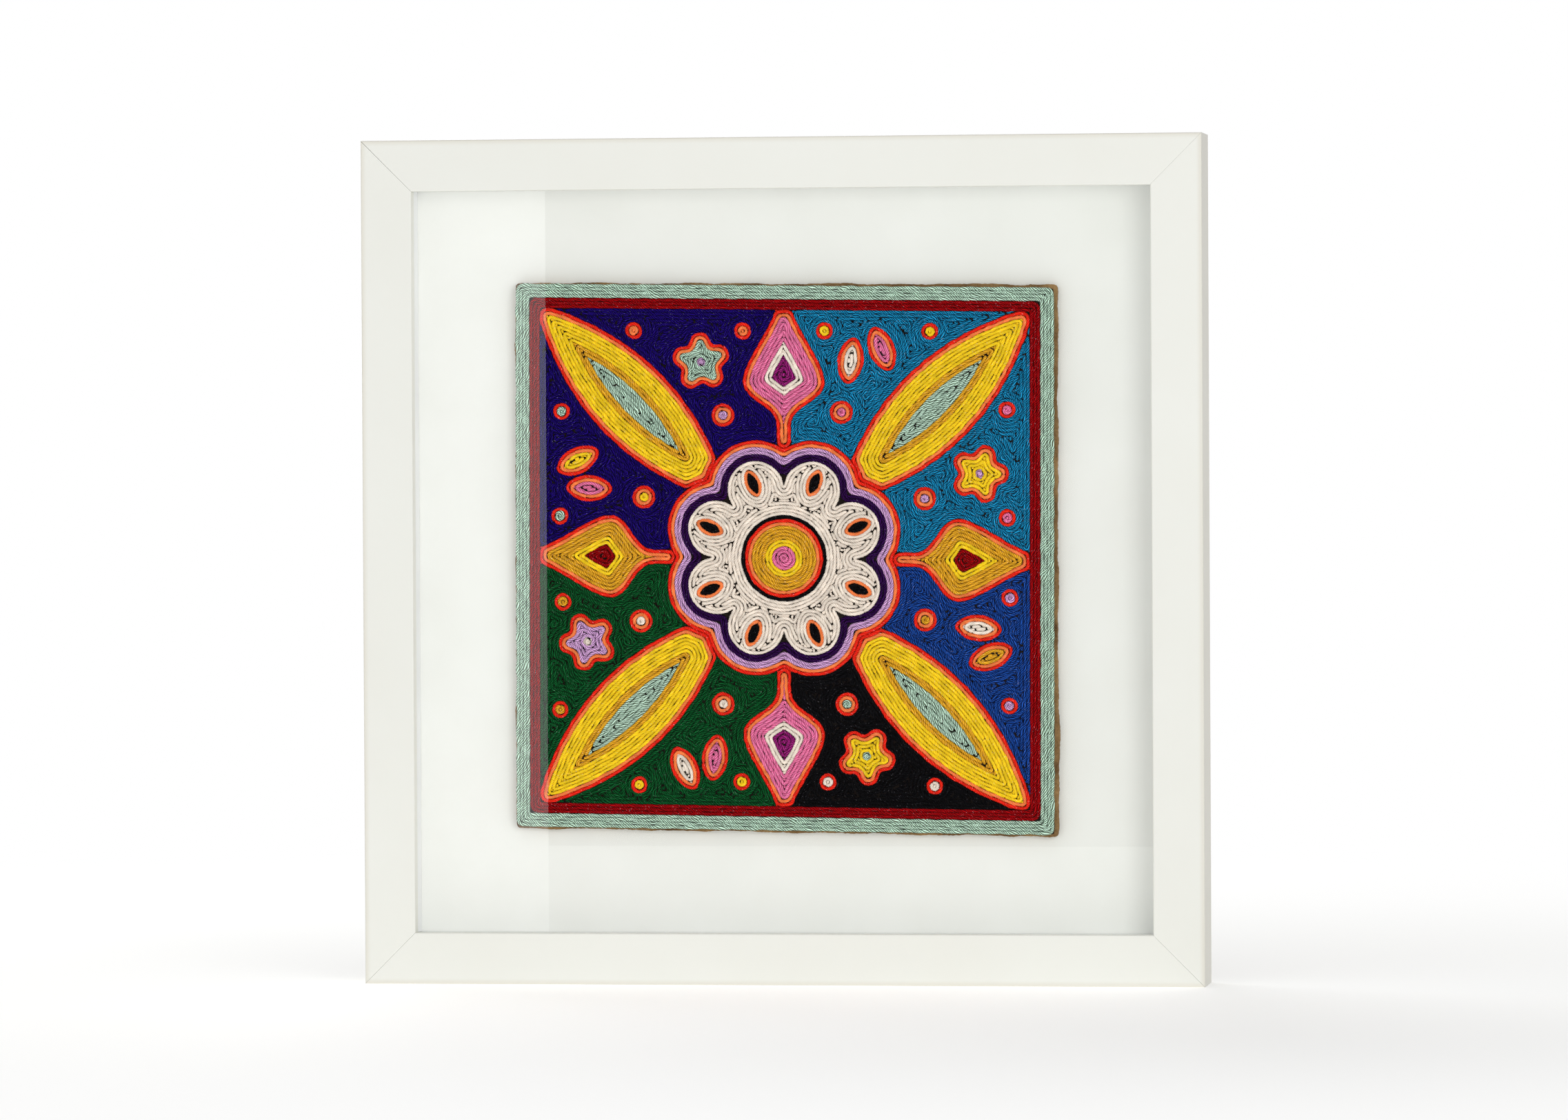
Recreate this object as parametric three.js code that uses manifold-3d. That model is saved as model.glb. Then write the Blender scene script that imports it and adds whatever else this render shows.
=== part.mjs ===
// A yarn painting in a white box frame: coloured yarn pressed into wax on a hand-cut board, which is
// float mounted behind glass. Millimetres, +Z up. The picture faces -Y and the wall is on the +Y side.
// The frame stands on its bottom rail at Z = 0, and Y = 0 is half way through its whole depth.

import * as THREE from 'three';
import { mergeVertices } from 'three/addons/utils/BufferGeometryUtils.js';
import Module from 'manifold-3d';

const wasm = await Module();
wasm.setup();

// Clearances
const SEAT = 0.3; // between a piece and what it rests on
const MITRE_GAP = 0.2; // across each corner of the frame
const SHEET_PLAY = 1; // round the edge of every sheet in the rebate
const SCREW_PLAY = 0.3; // round a shank in its hole
const RING_PLAY = 0.3; // round the ring's bar in its barrel
const YARN_GAP = 0.3; // between neighbouring fields of yarn

// Frame rails
const OPENING_WIDTH = 413;
const OPENING_HEIGHT = 413;
const RAIL_FACE = 28.5; // width seen from the front
const REBATE = 7; // width of the step that holds the sheets
const LIP = 8; // from the front face back to the rebate
const EASED_EDGE = 0.8; // radius along both front edges

// Sheets in the rebate, from front to back
const GLASS = 2;
const SPACER_DEPTH = 13.4;
const SPACER_WIDTH = 6;
const MOUNT = 2;
const FILLER = 10;
const BACKING = 3;

// V nails across the back of each mitre
const NAIL_APEX = 14; // from both outer edges to the bend
const NAIL_LEG = 8;
const NAIL_THICK = 0.8;
const NAIL_HEIGHT = 10;
const NAIL_SINK = 0.5; // below the back of the rails

// Screws with a domed head
const SHANK_RADIUS = 1.6;
const SHANK_LENGTH = 12; // under the head
const SHANK_POINT = 3;
const HEAD_RADIUS = 3.2;
const HEAD_HEIGHT = 1.9;

// Turn buttons that keep the backing in
const BUTTON_PIVOT = 16; // from the outer edge of the rail
const BUTTON_NOSE = 15; // pivot to the end over the backing
const BUTTON_TAIL = 7;
const BUTTON_WIDTH = 9.6;
const BUTTON_THICK = 1.2;

// Strap hangers with a ring
const HANGER_DROP = 130; // top of the frame to the ring's bar
const STRAP_WIDTH = 12;
const STRAP_THICK = 1.2;
const STRAP_SCREW_ROOM = 4; // between the hanging ring and the screw's head
const CURL_END = 200; // degrees round the bar where the curled strap ends
const RING_WIRE = 2.5;
const RING_DROP = 13; // bar to the bottom of the ring, on the wire's centre
const RING_CORNER = 2.5;
const RING_SIDE_PLAY = 0.5; // strap's edge to where the bar starts to bend

// Soft bumpers at the lower back corners
const BUMPER_RADIUS = 6;
const BUMPER_EDGE = 1; // rounding of the rim
const BUMPER_INSET = 40; // from the side of the frame
const BUMPER_REACH = 0.2; // how far they stand out past the hangers

// Painting: board, wax and yarn
const PANEL_WIDTH = 304;
const PANEL_HEIGHT = 305;
const PANEL = 4;
const PANEL_CORNER = 2;
const PANEL_RISE = 1.5; // above the middle of the frame
const PANEL_DROP = 4.5; // the hand-cut board's right side hangs lower by this
const PANEL_LEAN = 1.1; // and its top leans to the right by this
const TAPE = 1;
const TAPE_WIDTH = 25;
const TAPE_LENGTH = 240;
const TAPE_SPREAD = 180; // between the two strips
const WAX = 0.8;
const WAX_RIM = 0.5; // bare board round the wax
const YARN = 1.6;
const YARN_RIM = 1.2; // bare board round the yarn
const STRAND = 1.9; // one strand of yarn beside the next
const MINT_STRANDS = 4;
const CRIMSON_STRANDS = 3;
const BORDER_CORNER = 3;

// Flower in the middle
const PETALS = 8;
const PETAL_CORE = 16; // radius of each innermost petal
const PETAL_OVERLAP = 0.985; // spacing of the petals over their width
const BAND_STRANDS = 2; // in each of the flower's three bands
const HEART_RADIUS = 24;

// Leaves towards the corners and buds towards the sides
const LEAF_HALF = 23;
const BUD_HALF = 23;
const BUD_BELLY = 40; // from the border to the widest place
const BUD_NECK = 24; // from the widest place to the stem
const BUD_SOFTNESS = 11; // how long the curves run straight at neck and belly
const STEM_HALF = 2 * STRAND;
const MOTIF_OVERRUN = 4; // past the border and into the flower, before they are cut there

// How finely curves are divided
const EDGE_STEPS = 3;
const CURVE_STEPS = 6;
const MOTIF_STEPS = 10;
const ROUND_STEPS = 16;
const LOOP_STEPS = 32;
const WIRE_SIDES = 8;

// How far a cutting tool runs past what it cuts, and how close points count as one
const CUT_OVER = 1;
const WELD = 1e-4;

// Sizes that follow from those above
const OUTER_WIDTH = OPENING_WIDTH + 2 * RAIL_FACE;
const OUTER_HEIGHT = OPENING_HEIGHT + 2 * RAIL_FACE;
const BACK_FACE = RAIL_FACE - REBATE;
const REBATE_WIDTH = OPENING_WIDTH + 2 * REBATE;
const REBATE_HEIGHT = OPENING_HEIGHT + 2 * REBATE;
const FILLER_BACK = BACKING + SEAT;
const MOUNT_BACK = FILLER_BACK + FILLER + SEAT;
const MOUNT_FRONT = MOUNT_BACK + MOUNT;
const SPACER_BACK = MOUNT_FRONT + SEAT;
const GLASS_BACK = SPACER_BACK + SPACER_DEPTH + SEAT;
const LIP_BACK = GLASS_BACK + GLASS + SEAT;
const RAIL_DEPTH = LIP_BACK + LIP;

const BARREL_BORE = RING_WIRE / 2 + RING_PLAY;
const BARREL_RADIUS = BARREL_BORE + STRAP_THICK;
const STRAP_SCREW = RING_DROP + RING_WIRE / 2 + STRAP_SCREW_ROOM + HEAD_RADIUS;
const STRAP_LENGTH = STRAP_SCREW + STRAP_WIDTH / 2;
const RING_STRAIGHT = STRAP_WIDTH / 2 + RING_SIDE_PLAY;
const HANGER_INSET = BACK_FACE / 2;
const HANGER_RISE = OUTER_HEIGHT / 2 - HANGER_DROP;
const BUMPER_HEIGHT = 2 * BARREL_RADIUS + BUMPER_REACH;
const PROUD = SEAT + BUMPER_HEIGHT;

const TAPE_BACK = MOUNT_FRONT + SEAT;
const PANEL_BACK = TAPE_BACK + TAPE + SEAT;
const WAX_BACK = PANEL_BACK + PANEL + SEAT;
const YARN_BACK = WAX_BACK + WAX + SEAT;
const YARN_FRONT = YARN_BACK + YARN;
const YARN_WIDTH = PANEL_WIDTH - 2 * YARN_RIM;
const YARN_HEIGHT = PANEL_HEIGHT - 2 * YARN_RIM;
const CRIMSON_INSET = MINT_STRANDS * STRAND;
const FIELD_INSET = CRIMSON_INSET + CRIMSON_STRANDS * STRAND;
const FIELD_WIDTH = YARN_WIDTH - 2 * FIELD_INSET;
const FIELD_HEIGHT = YARN_HEIGHT - 2 * FIELD_INSET;
const FIELD_CORNER = Math.hypot(FIELD_WIDTH, FIELD_HEIGHT) / 2;
const FIELD_DIAGONAL = Math.atan2(FIELD_HEIGHT, FIELD_WIDTH);

const PETAL_ANGLE = Math.PI / PETALS;
const PETAL_RING = (PETAL_CORE * PETAL_OVERLAP) / Math.sin(PETAL_ANGLE);
const BAND = BAND_STRANDS * STRAND;
const PETAL_OUTER = PETAL_CORE + 3 * BAND;

// Finishes
const PAINTED_WOOD = { color: 0xeeefe9, roughness: 0.5, metalness: 0 };
const CLEAR_GLASS = { color: 0xf4f8f6, roughness: 0.05, metalness: 0, transparent: true, opacity: 0.15 };
const WHITE_CARD = { color: 0xf2f3ed, roughness: 0.9, metalness: 0 };
const FOAM_CARD = { color: 0xe6e3da, roughness: 0.9, metalness: 0 };
const HARDBOARD = { color: 0x7a5a3c, roughness: 0.8, metalness: 0 };
const ZINC_STEEL = { color: 0xb9bab6, roughness: 0.4, metalness: 0.9 };
const BRASSED_STEEL = { color: 0xc09a4a, roughness: 0.35, metalness: 0.9 };
const GREY_RUBBER = { color: 0xd8d8d4, roughness: 0.7, metalness: 0 };
const BROWN_BOARD = { color: 0x7a5630, roughness: 0.85, metalness: 0 };
const DARK_WAX = { color: 0x3a2412, roughness: 0.5, metalness: 0 };
const WHITE_FOAM = { color: 0xf0efe9, roughness: 0.95, metalness: 0 };

// Colours of the yarn
const MINT = 0xa9cdb2;
const CRIMSON = 0x9c0912;
const TEAL = 0x0c79ae;
const NAVY = 0x1c0a78;
const ROYAL = 0x0f3a8f;
const BLACK = 0x0a0a0c;
const GREEN = 0x064a22;
const YELLOW = 0xf2be12;
const CORAL = 0xff5a30;
const LAVENDER = 0xa583c4;
const PURPLE = 0x2e0a50;
const CREAM = 0xf6e6d8;
const PINK = 0xf0609a;
const OCHRE = 0xd9930f;

/** A closed geometry as a solid that can be cut and joined. */
function solidOf(geometry) {
  const bare = geometry.clone();
  bare.deleteAttribute('normal');
  bare.deleteAttribute('uv');
  const welded = mergeVertices(bare, WELD);
  const vertProperties = new Float32Array(welded.attributes.position.array);
  const triVerts = new Uint32Array(welded.index.array);
  return new wasm.Manifold(new wasm.Mesh({ numProp: 3, vertProperties, triVerts }));
}

/** A cut or joined solid as a geometry. */
function geometryOf(solid) {
  const { vertProperties, triVerts } = solid.getMesh();
  const geometry = new THREE.BufferGeometry();
  geometry.setAttribute('position', new THREE.BufferAttribute(new Float32Array(vertProperties), 3));
  geometry.setIndex(new THREE.BufferAttribute(new Uint32Array(triVerts), 1));
  geometry.computeVertexNormals();
  return geometry;
}

/** Adds one named piece with its own material to a group. */
function addPiece(group, name, geometry, finish) {
  const mesh = new THREE.Mesh(geometry, new THREE.MeshStandardMaterial(finish));
  mesh.name = name;
  group.add(mesh);
  return mesh;
}

/** A flat plate of any outline between two depths. */
function plate(shape, back, front, curveSegments = CURVE_STEPS) {
  const settings = { depth: front - back, bevelEnabled: false, curveSegments };
  return new THREE.ExtrudeGeometry(shape, settings).translate(0, 0, back);
}

/** A flat rectangular sheet between two depths, centred on the picture. */
function sheet(width, height, back, front) {
  const middle = (back + front) / 2;
  return new THREE.BoxGeometry(width, height, front - back).translate(0, 0, middle);
}

/** A rod along the depth, used to drill holes. */
function drill(radius, back, front) {
  const rod = new THREE.CylinderGeometry(radius, radius, front - back, ROUND_STEPS);
  return rod.rotateX(Math.PI / 2).translate(0, 0, (back + front) / 2);
}

/** A rectangle with round corners, centred. */
function roundedRectangle(width, height, radius) {
  const x = width / 2 - radius;
  const y = height / 2 - radius;
  const quarter = Math.PI / 2;
  return new THREE.Shape()
    .absarc(x, y, radius, 0, quarter)
    .absarc(-x, y, radius, quarter, 2 * quarter)
    .absarc(-x, -y, radius, 2 * quarter, 3 * quarter)
    .absarc(x, -y, radius, 3 * quarter, 4 * quarter);
}

/** A round outline, centred. */
function circle(radius) {
  return new THREE.Shape(new THREE.EllipseCurve(0, 0, radius, radius).getPoints(LOOP_STEPS).slice(1));
}

// Frame rails, built along X with Y running inwards from the outer edge

/** The section of a rail: a lip in front, a rebate behind it, and eased front edges. */
function railSection() {
  const quarter = Math.PI / 2;
  const eased = RAIL_DEPTH - EASED_EDGE;
  const section = new THREE.Shape();
  section.moveTo(0, 0);
  section.lineTo(BACK_FACE, 0);
  section.lineTo(BACK_FACE, LIP_BACK);
  section.lineTo(RAIL_FACE, LIP_BACK);
  section.absarc(RAIL_FACE - EASED_EDGE, eased, EASED_EDGE, 0, quarter);
  section.absarc(EASED_EDGE, eased, EASED_EDGE, quarter, 2 * quarter);
  return section;
}

/** A rail with both ends cut to the mitre. */
function mitredRail(length) {
  const settings = { depth: 1, bevelEnabled: false, curveSegments: EDGE_STEPS };
  const geometry = new THREE.ExtrudeGeometry(railSection(), settings);
  const points = geometry.attributes.position;
  for (let i = 0; i < points.count; i += 1) {
    const inward = points.getX(i);
    const depth = points.getY(i);
    const end = length / 2 - inward - MITRE_GAP / Math.SQRT2;
    points.setXYZ(i, points.getZ(i) > 0 ? end : -end, inward, depth);
  }
  return geometry;
}

/** The bent outline of a V nail, seen from behind, from the outer corner of the frame. */
function nailOutline(grow) {
  const near = NAIL_APEX - NAIL_THICK / 2 - grow;
  const far = NAIL_APEX + NAIL_THICK / 2 + grow;
  const end = NAIL_APEX - NAIL_LEG - grow;
  const corners = [[end, near], [near, near], [near, end], [far, end], [far, far], [end, far]];
  return new THREE.Shape(corners.map(([x, y]) => new THREE.Vector2(x, y)));
}

/** The room for a V nail at one end of a rail; end is -1 or 1. */
function nailPocket(length, end) {
  const outline = nailOutline(SEAT);
  const points = outline.getPoints().map((p) => new THREE.Vector2(end * (length / 2 - p.x), p.y));
  return plate(new THREE.Shape(points), -CUT_OVER, NAIL_SINK + NAIL_HEIGHT + SEAT);
}

/** The hole for a screw whose head stands behind a plate of some thickness. */
function screwHole(along, inward) {
  const hole = drill(SHANK_RADIUS + SCREW_PLAY, -CUT_OVER, SHANK_LENGTH + SEAT);
  return hole.translate(along, inward, 0);
}

/** A screw with a domed head behind and a point in front, seated on a plate. */
function screw(plateThickness) {
  const under = SEAT + plateThickness + SEAT;
  const profile = [new THREE.Vector2(0, -under - HEAD_HEIGHT)];
  const dome = new THREE.EllipseCurve(0, -under, HEAD_RADIUS, HEAD_HEIGHT, -Math.PI / 2, 0);
  profile.push(...dome.getPoints(EDGE_STEPS).slice(1));
  profile.push(new THREE.Vector2(SHANK_RADIUS, -under));
  profile.push(new THREE.Vector2(SHANK_RADIUS, SHANK_LENGTH - under - SHANK_POINT));
  profile.push(new THREE.Vector2(0, SHANK_LENGTH - under));
  return new THREE.LatheGeometry(profile, ROUND_STEPS).rotateX(Math.PI / 2);
}

/** A turn button, its pivot at the origin and its nose towards +Y. */
function turnButton() {
  const radius = BUTTON_WIDTH / 2;
  const shape = new THREE.Shape()
    .absarc(0, BUTTON_NOSE - radius, radius, 0, Math.PI)
    .absarc(0, radius - BUTTON_TAIL, radius, Math.PI, 2 * Math.PI);
  const hole = new THREE.Path().absarc(0, 0, SHANK_RADIUS + SCREW_PLAY, 0, 2 * Math.PI);
  shape.holes.push(hole);
  return plate(shape, -SEAT - BUTTON_THICK, -SEAT);
}

/** A soft bumper behind a rail. */
function bumper() {
  const far = -SEAT - BUMPER_HEIGHT;
  const rim = new THREE.EllipseCurve(
    BUMPER_RADIUS - BUMPER_EDGE, far + BUMPER_EDGE, BUMPER_EDGE, BUMPER_EDGE, -Math.PI / 2, 0,
  );
  const profile = [new THREE.Vector2(0, far), ...rim.getPoints(EDGE_STEPS)];
  profile.push(new THREE.Vector2(BUMPER_RADIUS, -SEAT), new THREE.Vector2(0, -SEAT));
  return new THREE.LatheGeometry(profile, ROUND_STEPS).rotateX(Math.PI / 2);
}

// Strap hangers, with the ring's bar along X at the origin, Y up and the wall towards -Z

/** The strap: a tongue against the rail whose upper end curls round the ring's bar. */
function strap() {
  const start = -Math.PI / 2;
  const end = THREE.MathUtils.degToRad(CURL_END);
  const side = new THREE.Shape();
  side.moveTo(-STRAP_LENGTH - CUT_OVER, -BARREL_RADIUS);
  side.absarc(0, 0, BARREL_RADIUS, start, end);
  side.absarc(0, 0, BARREL_BORE, end, start, true);
  side.lineTo(-STRAP_LENGTH - CUT_OVER, -BARREL_BORE);
  const bent = plate(side, -STRAP_WIDTH / 2, STRAP_WIDTH / 2, ROUND_STEPS);
  const lengthways = new THREE.Vector3(0, 1, 0);
  const outwards = new THREE.Vector3(0, 0, -1);
  const across = new THREE.Vector3(-1, 0, 0);
  bent.applyMatrix4(new THREE.Matrix4().makeBasis(lengthways, outwards, across));

  const half = STRAP_WIDTH / 2;
  const plan = new THREE.Shape();
  plan.moveTo(half, BARREL_RADIUS + CUT_OVER);
  plan.lineTo(-half, BARREL_RADIUS + CUT_OVER);
  plan.absarc(0, -STRAP_SCREW, half, Math.PI, 2 * Math.PI);
  const reach = BARREL_RADIUS + CUT_OVER;
  const hole = drill(SHANK_RADIUS + SCREW_PLAY, -reach, reach).translate(0, -STRAP_SCREW, 0);
  const outline = solidOf(plate(plan, -reach, reach));
  return geometryOf(solidOf(bent).intersect(outline).subtract(solidOf(hole)));
}

/** The ring's centre line: a straight bar, two small corners and a round bottom. */
function ringLine() {
  const quarter = Math.PI / 2;
  const side = RING_STRAIGHT + RING_CORNER;
  const drop = RING_DROP - RING_CORNER;
  return new THREE.Path()
    .absarc(-RING_STRAIGHT, -RING_CORNER, RING_CORNER, 2 * quarter, quarter, true)
    .absarc(RING_STRAIGHT, -RING_CORNER, RING_CORNER, quarter, 0, true)
    .absellipse(0, -RING_CORNER, side, drop, 0, -2 * quarter, true);
}

/** The ring of round wire, closed on itself. */
function ring() {
  const line = ringLine();
  const positions = [];
  const index = [];
  for (let i = 0; i < LOOP_STEPS; i += 1) {
    const centre = line.getPointAt(i / LOOP_STEPS);
    const tangent = line.getTangentAt(i / LOOP_STEPS);
    for (let j = 0; j < WIRE_SIDES; j += 1) {
      const angle = (2 * Math.PI * j) / WIRE_SIDES;
      const inPlane = (RING_WIRE / 2) * Math.cos(angle);
      const outOfPlane = (RING_WIRE / 2) * Math.sin(angle);
      positions.push(centre.x - tangent.y * inPlane, centre.y + tangent.x * inPlane, outOfPlane);
      const nextJ = (j + 1) % WIRE_SIDES;
      const here = i * WIRE_SIDES;
      const next = ((i + 1) % LOOP_STEPS) * WIRE_SIDES;
      index.push(here + j, next + nextJ, next + j, here + j, here + nextJ, next + nextJ);
    }
  }
  const geometry = new THREE.BufferGeometry();
  geometry.setAttribute('position', new THREE.Float32BufferAttribute(positions, 3));
  geometry.setIndex(index);
  geometry.computeVertexNormals();
  return geometry;
}

// Outlines of the yarn motifs, drawn from the middle of the picture

/** A ring of overlapping petals, one outline round them all. */
function flowerOutline(petalRadius) {
  const shape = new THREE.Shape();
  const dip = PETAL_RING * Math.sin(PETAL_ANGLE);
  const cusp = PETAL_RING * Math.cos(PETAL_ANGLE) + Math.sqrt(petalRadius ** 2 - dip ** 2);
  const sweep = Math.atan2(cusp * Math.sin(PETAL_ANGLE), cusp * Math.cos(PETAL_ANGLE) - PETAL_RING);
  for (let k = 0; k < PETALS; k += 1) {
    const angle = (2 * k + 1) * PETAL_ANGLE;
    const x = PETAL_RING * Math.cos(angle);
    const y = PETAL_RING * Math.sin(angle);
    shape.absarc(x, y, petalRadius, angle - sweep, angle + sweep);
  }
  return shape;
}

/** A leaf along +X, from inside the flower to past the corner of the field. */
function leafOutline(grow) {
  const base = PETAL_RING - 2 * grow;
  const tip = FIELD_CORNER + MOTIF_OVERRUN + 2 * grow;
  const bulge = 2 * (LEAF_HALF + grow);
  const middle = (base + tip) / 2;
  const shape = new THREE.Shape();
  shape.moveTo(base, 0);
  shape.quadraticCurveTo(middle, -bulge, tip, 0);
  shape.quadraticCurveTo(middle, bulge, base, 0);
  return shape;
}

/** A bud on its stem along +X, from inside the flower to past the border at a distance. */
function budOutline(border, grow) {
  const base = PETAL_RING;
  const belly = border - BUD_BELLY;
  const neck = belly - BUD_NECK;
  const tip = border + MOTIF_OVERRUN;
  const stem = STEM_HALF + grow;
  const wide = BUD_HALF + grow;
  const soft = BUD_SOFTNESS;
  const shape = new THREE.Shape();
  shape.moveTo(base, -stem);
  shape.lineTo(neck, -stem);
  shape.bezierCurveTo(neck + soft, -stem, belly - soft, -wide, belly, -wide);
  shape.bezierCurveTo(belly + soft, -wide, tip - soft, -stem, tip, -stem);
  shape.lineTo(tip, stem);
  shape.bezierCurveTo(tip - soft, stem, belly + soft, wide, belly, wide);
  shape.bezierCurveTo(belly - soft, wide, neck + soft, stem, neck, stem);
  shape.lineTo(base, stem);
  return shape;
}

/** A tool of a motif's outline, thicker than the yarn. */
function yarnTool(shape, turn, curveSegments) {
  const tool = plate(shape, YARN_BACK - CUT_OVER, YARN_FRONT + CUT_OVER, curveSegments);
  return solidOf(tool.rotateZ(turn));
}

/** A field of yarn between two outlines, or inside one. */
function yarnField(outer, inner) {
  if (inner) outer.holes.push(inner);
  return plate(outer, YARN_BACK, YARN_FRONT);
}

// The picture: X right, Y up from the middle of the frame, Z forward from the back of the rails
const picture = new THREE.Group();
picture.rotation.x = Math.PI / 2;
picture.position.set(0, (RAIL_DEPTH - PROUD) / 2, OUTER_HEIGHT / 2);

// The four sides, each a group whose X runs along the rail and whose Y runs inwards
const SIDES = [
  { name: 'bottom', turn: 0, length: OUTER_WIDTH, reach: OUTER_HEIGHT / 2 },
  { name: 'right', turn: 1, length: OUTER_HEIGHT, reach: OUTER_WIDTH / 2, hanger: HANGER_RISE },
  { name: 'top', turn: 2, length: OUTER_WIDTH, reach: OUTER_HEIGHT / 2 },
  { name: 'left', turn: 3, length: OUTER_HEIGHT, reach: OUTER_WIDTH / 2, hanger: -HANGER_RISE },
];
const CORNERS = ['bottom_left', 'bottom_right', 'top_right', 'top_left'];

SIDES.forEach(({ name, turn, length, reach, hanger }, i) => {
  const side = new THREE.Group();
  const angle = (turn * Math.PI) / 2;
  side.rotation.z = angle;
  side.position.set(reach * Math.sin(angle), -reach * Math.cos(angle), 0);
  picture.add(side);

  let rail = solidOf(mitredRail(length));
  const cuts = [nailPocket(length, -1), nailPocket(length, 1), screwHole(0, BUTTON_PIVOT)];
  if (hanger !== undefined) {
    const below = hanger - Math.sign(hanger) * STRAP_SCREW;
    cuts.push(screwHole(below, HANGER_INSET));
  }
  cuts.forEach((cut) => {
    rail = rail.subtract(solidOf(cut));
  });
  addPiece(side, `rail_${name}`, geometryOf(rail), PAINTED_WOOD);

  const nail = plate(nailOutline(0), NAIL_SINK, NAIL_SINK + NAIL_HEIGHT);
  addPiece(side, `corner_nail_${CORNERS[i]}`, nail, ZINC_STEEL).position.x = -length / 2;

  const upright = i % 2 === 1;
  const spacerCut = SEAT + (upright ? SPACER_WIDTH + SEAT : 0);
  const spacerLength = length - 2 * (BACK_FACE + spacerCut);
  const spacer = sheet(spacerLength, SPACER_WIDTH, SPACER_BACK, SPACER_BACK + SPACER_DEPTH);
  addPiece(side, `spacer_${name}`, spacer, WHITE_CARD).position.y = BACK_FACE + SEAT + SPACER_WIDTH / 2;

  addPiece(side, `turn_button_${name}`, turnButton(), BRASSED_STEEL).position.y = BUTTON_PIVOT;
  addPiece(side, `button_screw_${name}`, screw(BUTTON_THICK), BRASSED_STEEL).position.y = BUTTON_PIVOT;
});

// Sheets from the glass back to the backing
const SHEET_WIDTH = REBATE_WIDTH - 2 * SHEET_PLAY;
const SHEET_HEIGHT = REBATE_HEIGHT - 2 * SHEET_PLAY;
const SHEETS = [
  ['glass_pane', GLASS_BACK, GLASS, CLEAR_GLASS],
  ['mount_board', MOUNT_BACK, MOUNT, WHITE_CARD],
  ['filler_board', FILLER_BACK, FILLER, FOAM_CARD],
  ['backing_board', 0, BACKING, HARDBOARD],
];
SHEETS.forEach(([name, back, thickness, finish]) => {
  addPiece(picture, name, sheet(SHEET_WIDTH, SHEET_HEIGHT, back, back + thickness), finish);
});

// Hangers and bumpers on the back, a pair of each
[['left', -1], ['right', 1]].forEach(([name, sign]) => {
  const hanger = new THREE.Group();
  hanger.position.set(sign * (OUTER_WIDTH / 2 - HANGER_INSET), HANGER_RISE, -SEAT - BARREL_RADIUS);
  picture.add(hanger);
  addPiece(hanger, `hanger_strap_${name}`, strap(), ZINC_STEEL);
  addPiece(hanger, `hanger_ring_${name}`, ring(), ZINC_STEEL);

  const hangerScrew = addPiece(picture, `hanger_screw_${name}`, screw(STRAP_THICK), ZINC_STEEL);
  hangerScrew.position.set(hanger.position.x, HANGER_RISE - STRAP_SCREW, 0);

  const soft = addPiece(picture, `wall_bumper_${name}`, bumper(), GREY_RUBBER);
  soft.position.set(sign * (OUTER_WIDTH / 2 - BUMPER_INSET), (BACK_FACE - OUTER_HEIGHT) / 2, 0);
});

// The painting, whose hand-cut board is a little out of square
const painting = new THREE.Group();
painting.position.y = PANEL_RISE;
picture.add(painting);

const HAND_CUT = new THREE.Matrix4().set(
  1, PANEL_LEAN / PANEL_HEIGHT, 0, 0,
  -PANEL_DROP / PANEL_WIDTH, 1, 0, 0,
  0, 0, 1, 0,
  0, 0, 0, 1,
);

/** Adds one piece of the painting, cut out of square with the board. */
function addPainted(name, geometry, finish) {
  addPiece(painting, name, geometry.applyMatrix4(HAND_CUT), finish);
}

/** Adds one field of yarn in one colour. */
function addYarn(name, geometry, color) {
  addPainted(`yarn_${name}`, geometry, { color, roughness: 0.95, metalness: 0 });
}

const tapeStrip = () => sheet(TAPE_WIDTH, TAPE_LENGTH, TAPE_BACK, TAPE_BACK + TAPE);
addPainted('foam_tape_left', tapeStrip().translate(-TAPE_SPREAD / 2, 0, 0), WHITE_FOAM);
addPainted('foam_tape_right', tapeStrip().translate(TAPE_SPREAD / 2, 0, 0), WHITE_FOAM);

const panelShape = roundedRectangle(PANEL_WIDTH, PANEL_HEIGHT, PANEL_CORNER);
addPainted('painting_board', plate(panelShape, PANEL_BACK, PANEL_BACK + PANEL), BROWN_BOARD);
const waxShape = roundedRectangle(PANEL_WIDTH - 2 * WAX_RIM, PANEL_HEIGHT - 2 * WAX_RIM, PANEL_CORNER);
addPainted('wax_layer', plate(waxShape, WAX_BACK, WAX_BACK + WAX), DARK_WAX);

/** The outline of the yarn at a distance in from its outer edge. */
function borderOutline(inset) {
  return roundedRectangle(YARN_WIDTH - 2 * inset, YARN_HEIGHT - 2 * inset, BORDER_CORNER);
}

const halfGap = YARN_GAP / 2;
addYarn('border_mint', yarnField(borderOutline(0), borderOutline(CRIMSON_INSET - halfGap)), MINT);
addYarn(
  'border_crimson',
  yarnField(borderOutline(CRIMSON_INSET + halfGap), borderOutline(FIELD_INSET - halfGap)),
  CRIMSON,
);

// Flower bands from the outline in to the heart
const FLOWER_BANDS = [['outline', CORAL], ['lavender', LAVENDER], ['purple', PURPLE]];
FLOWER_BANDS.forEach(([name, color], i) => {
  const outer = flowerOutline(PETAL_OUTER - i * BAND - halfGap);
  const inner = flowerOutline(PETAL_OUTER - (i + 1) * BAND + halfGap);
  addYarn(`flower_${name}`, yarnField(outer, inner), color);
});
addYarn(
  'flower_petals',
  yarnField(flowerOutline(PETAL_CORE - halfGap), circle(HEART_RADIUS + halfGap)),
  CREAM,
);
addYarn('flower_heart', yarnField(circle(HEART_RADIUS - halfGap)), OCHRE);

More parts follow.
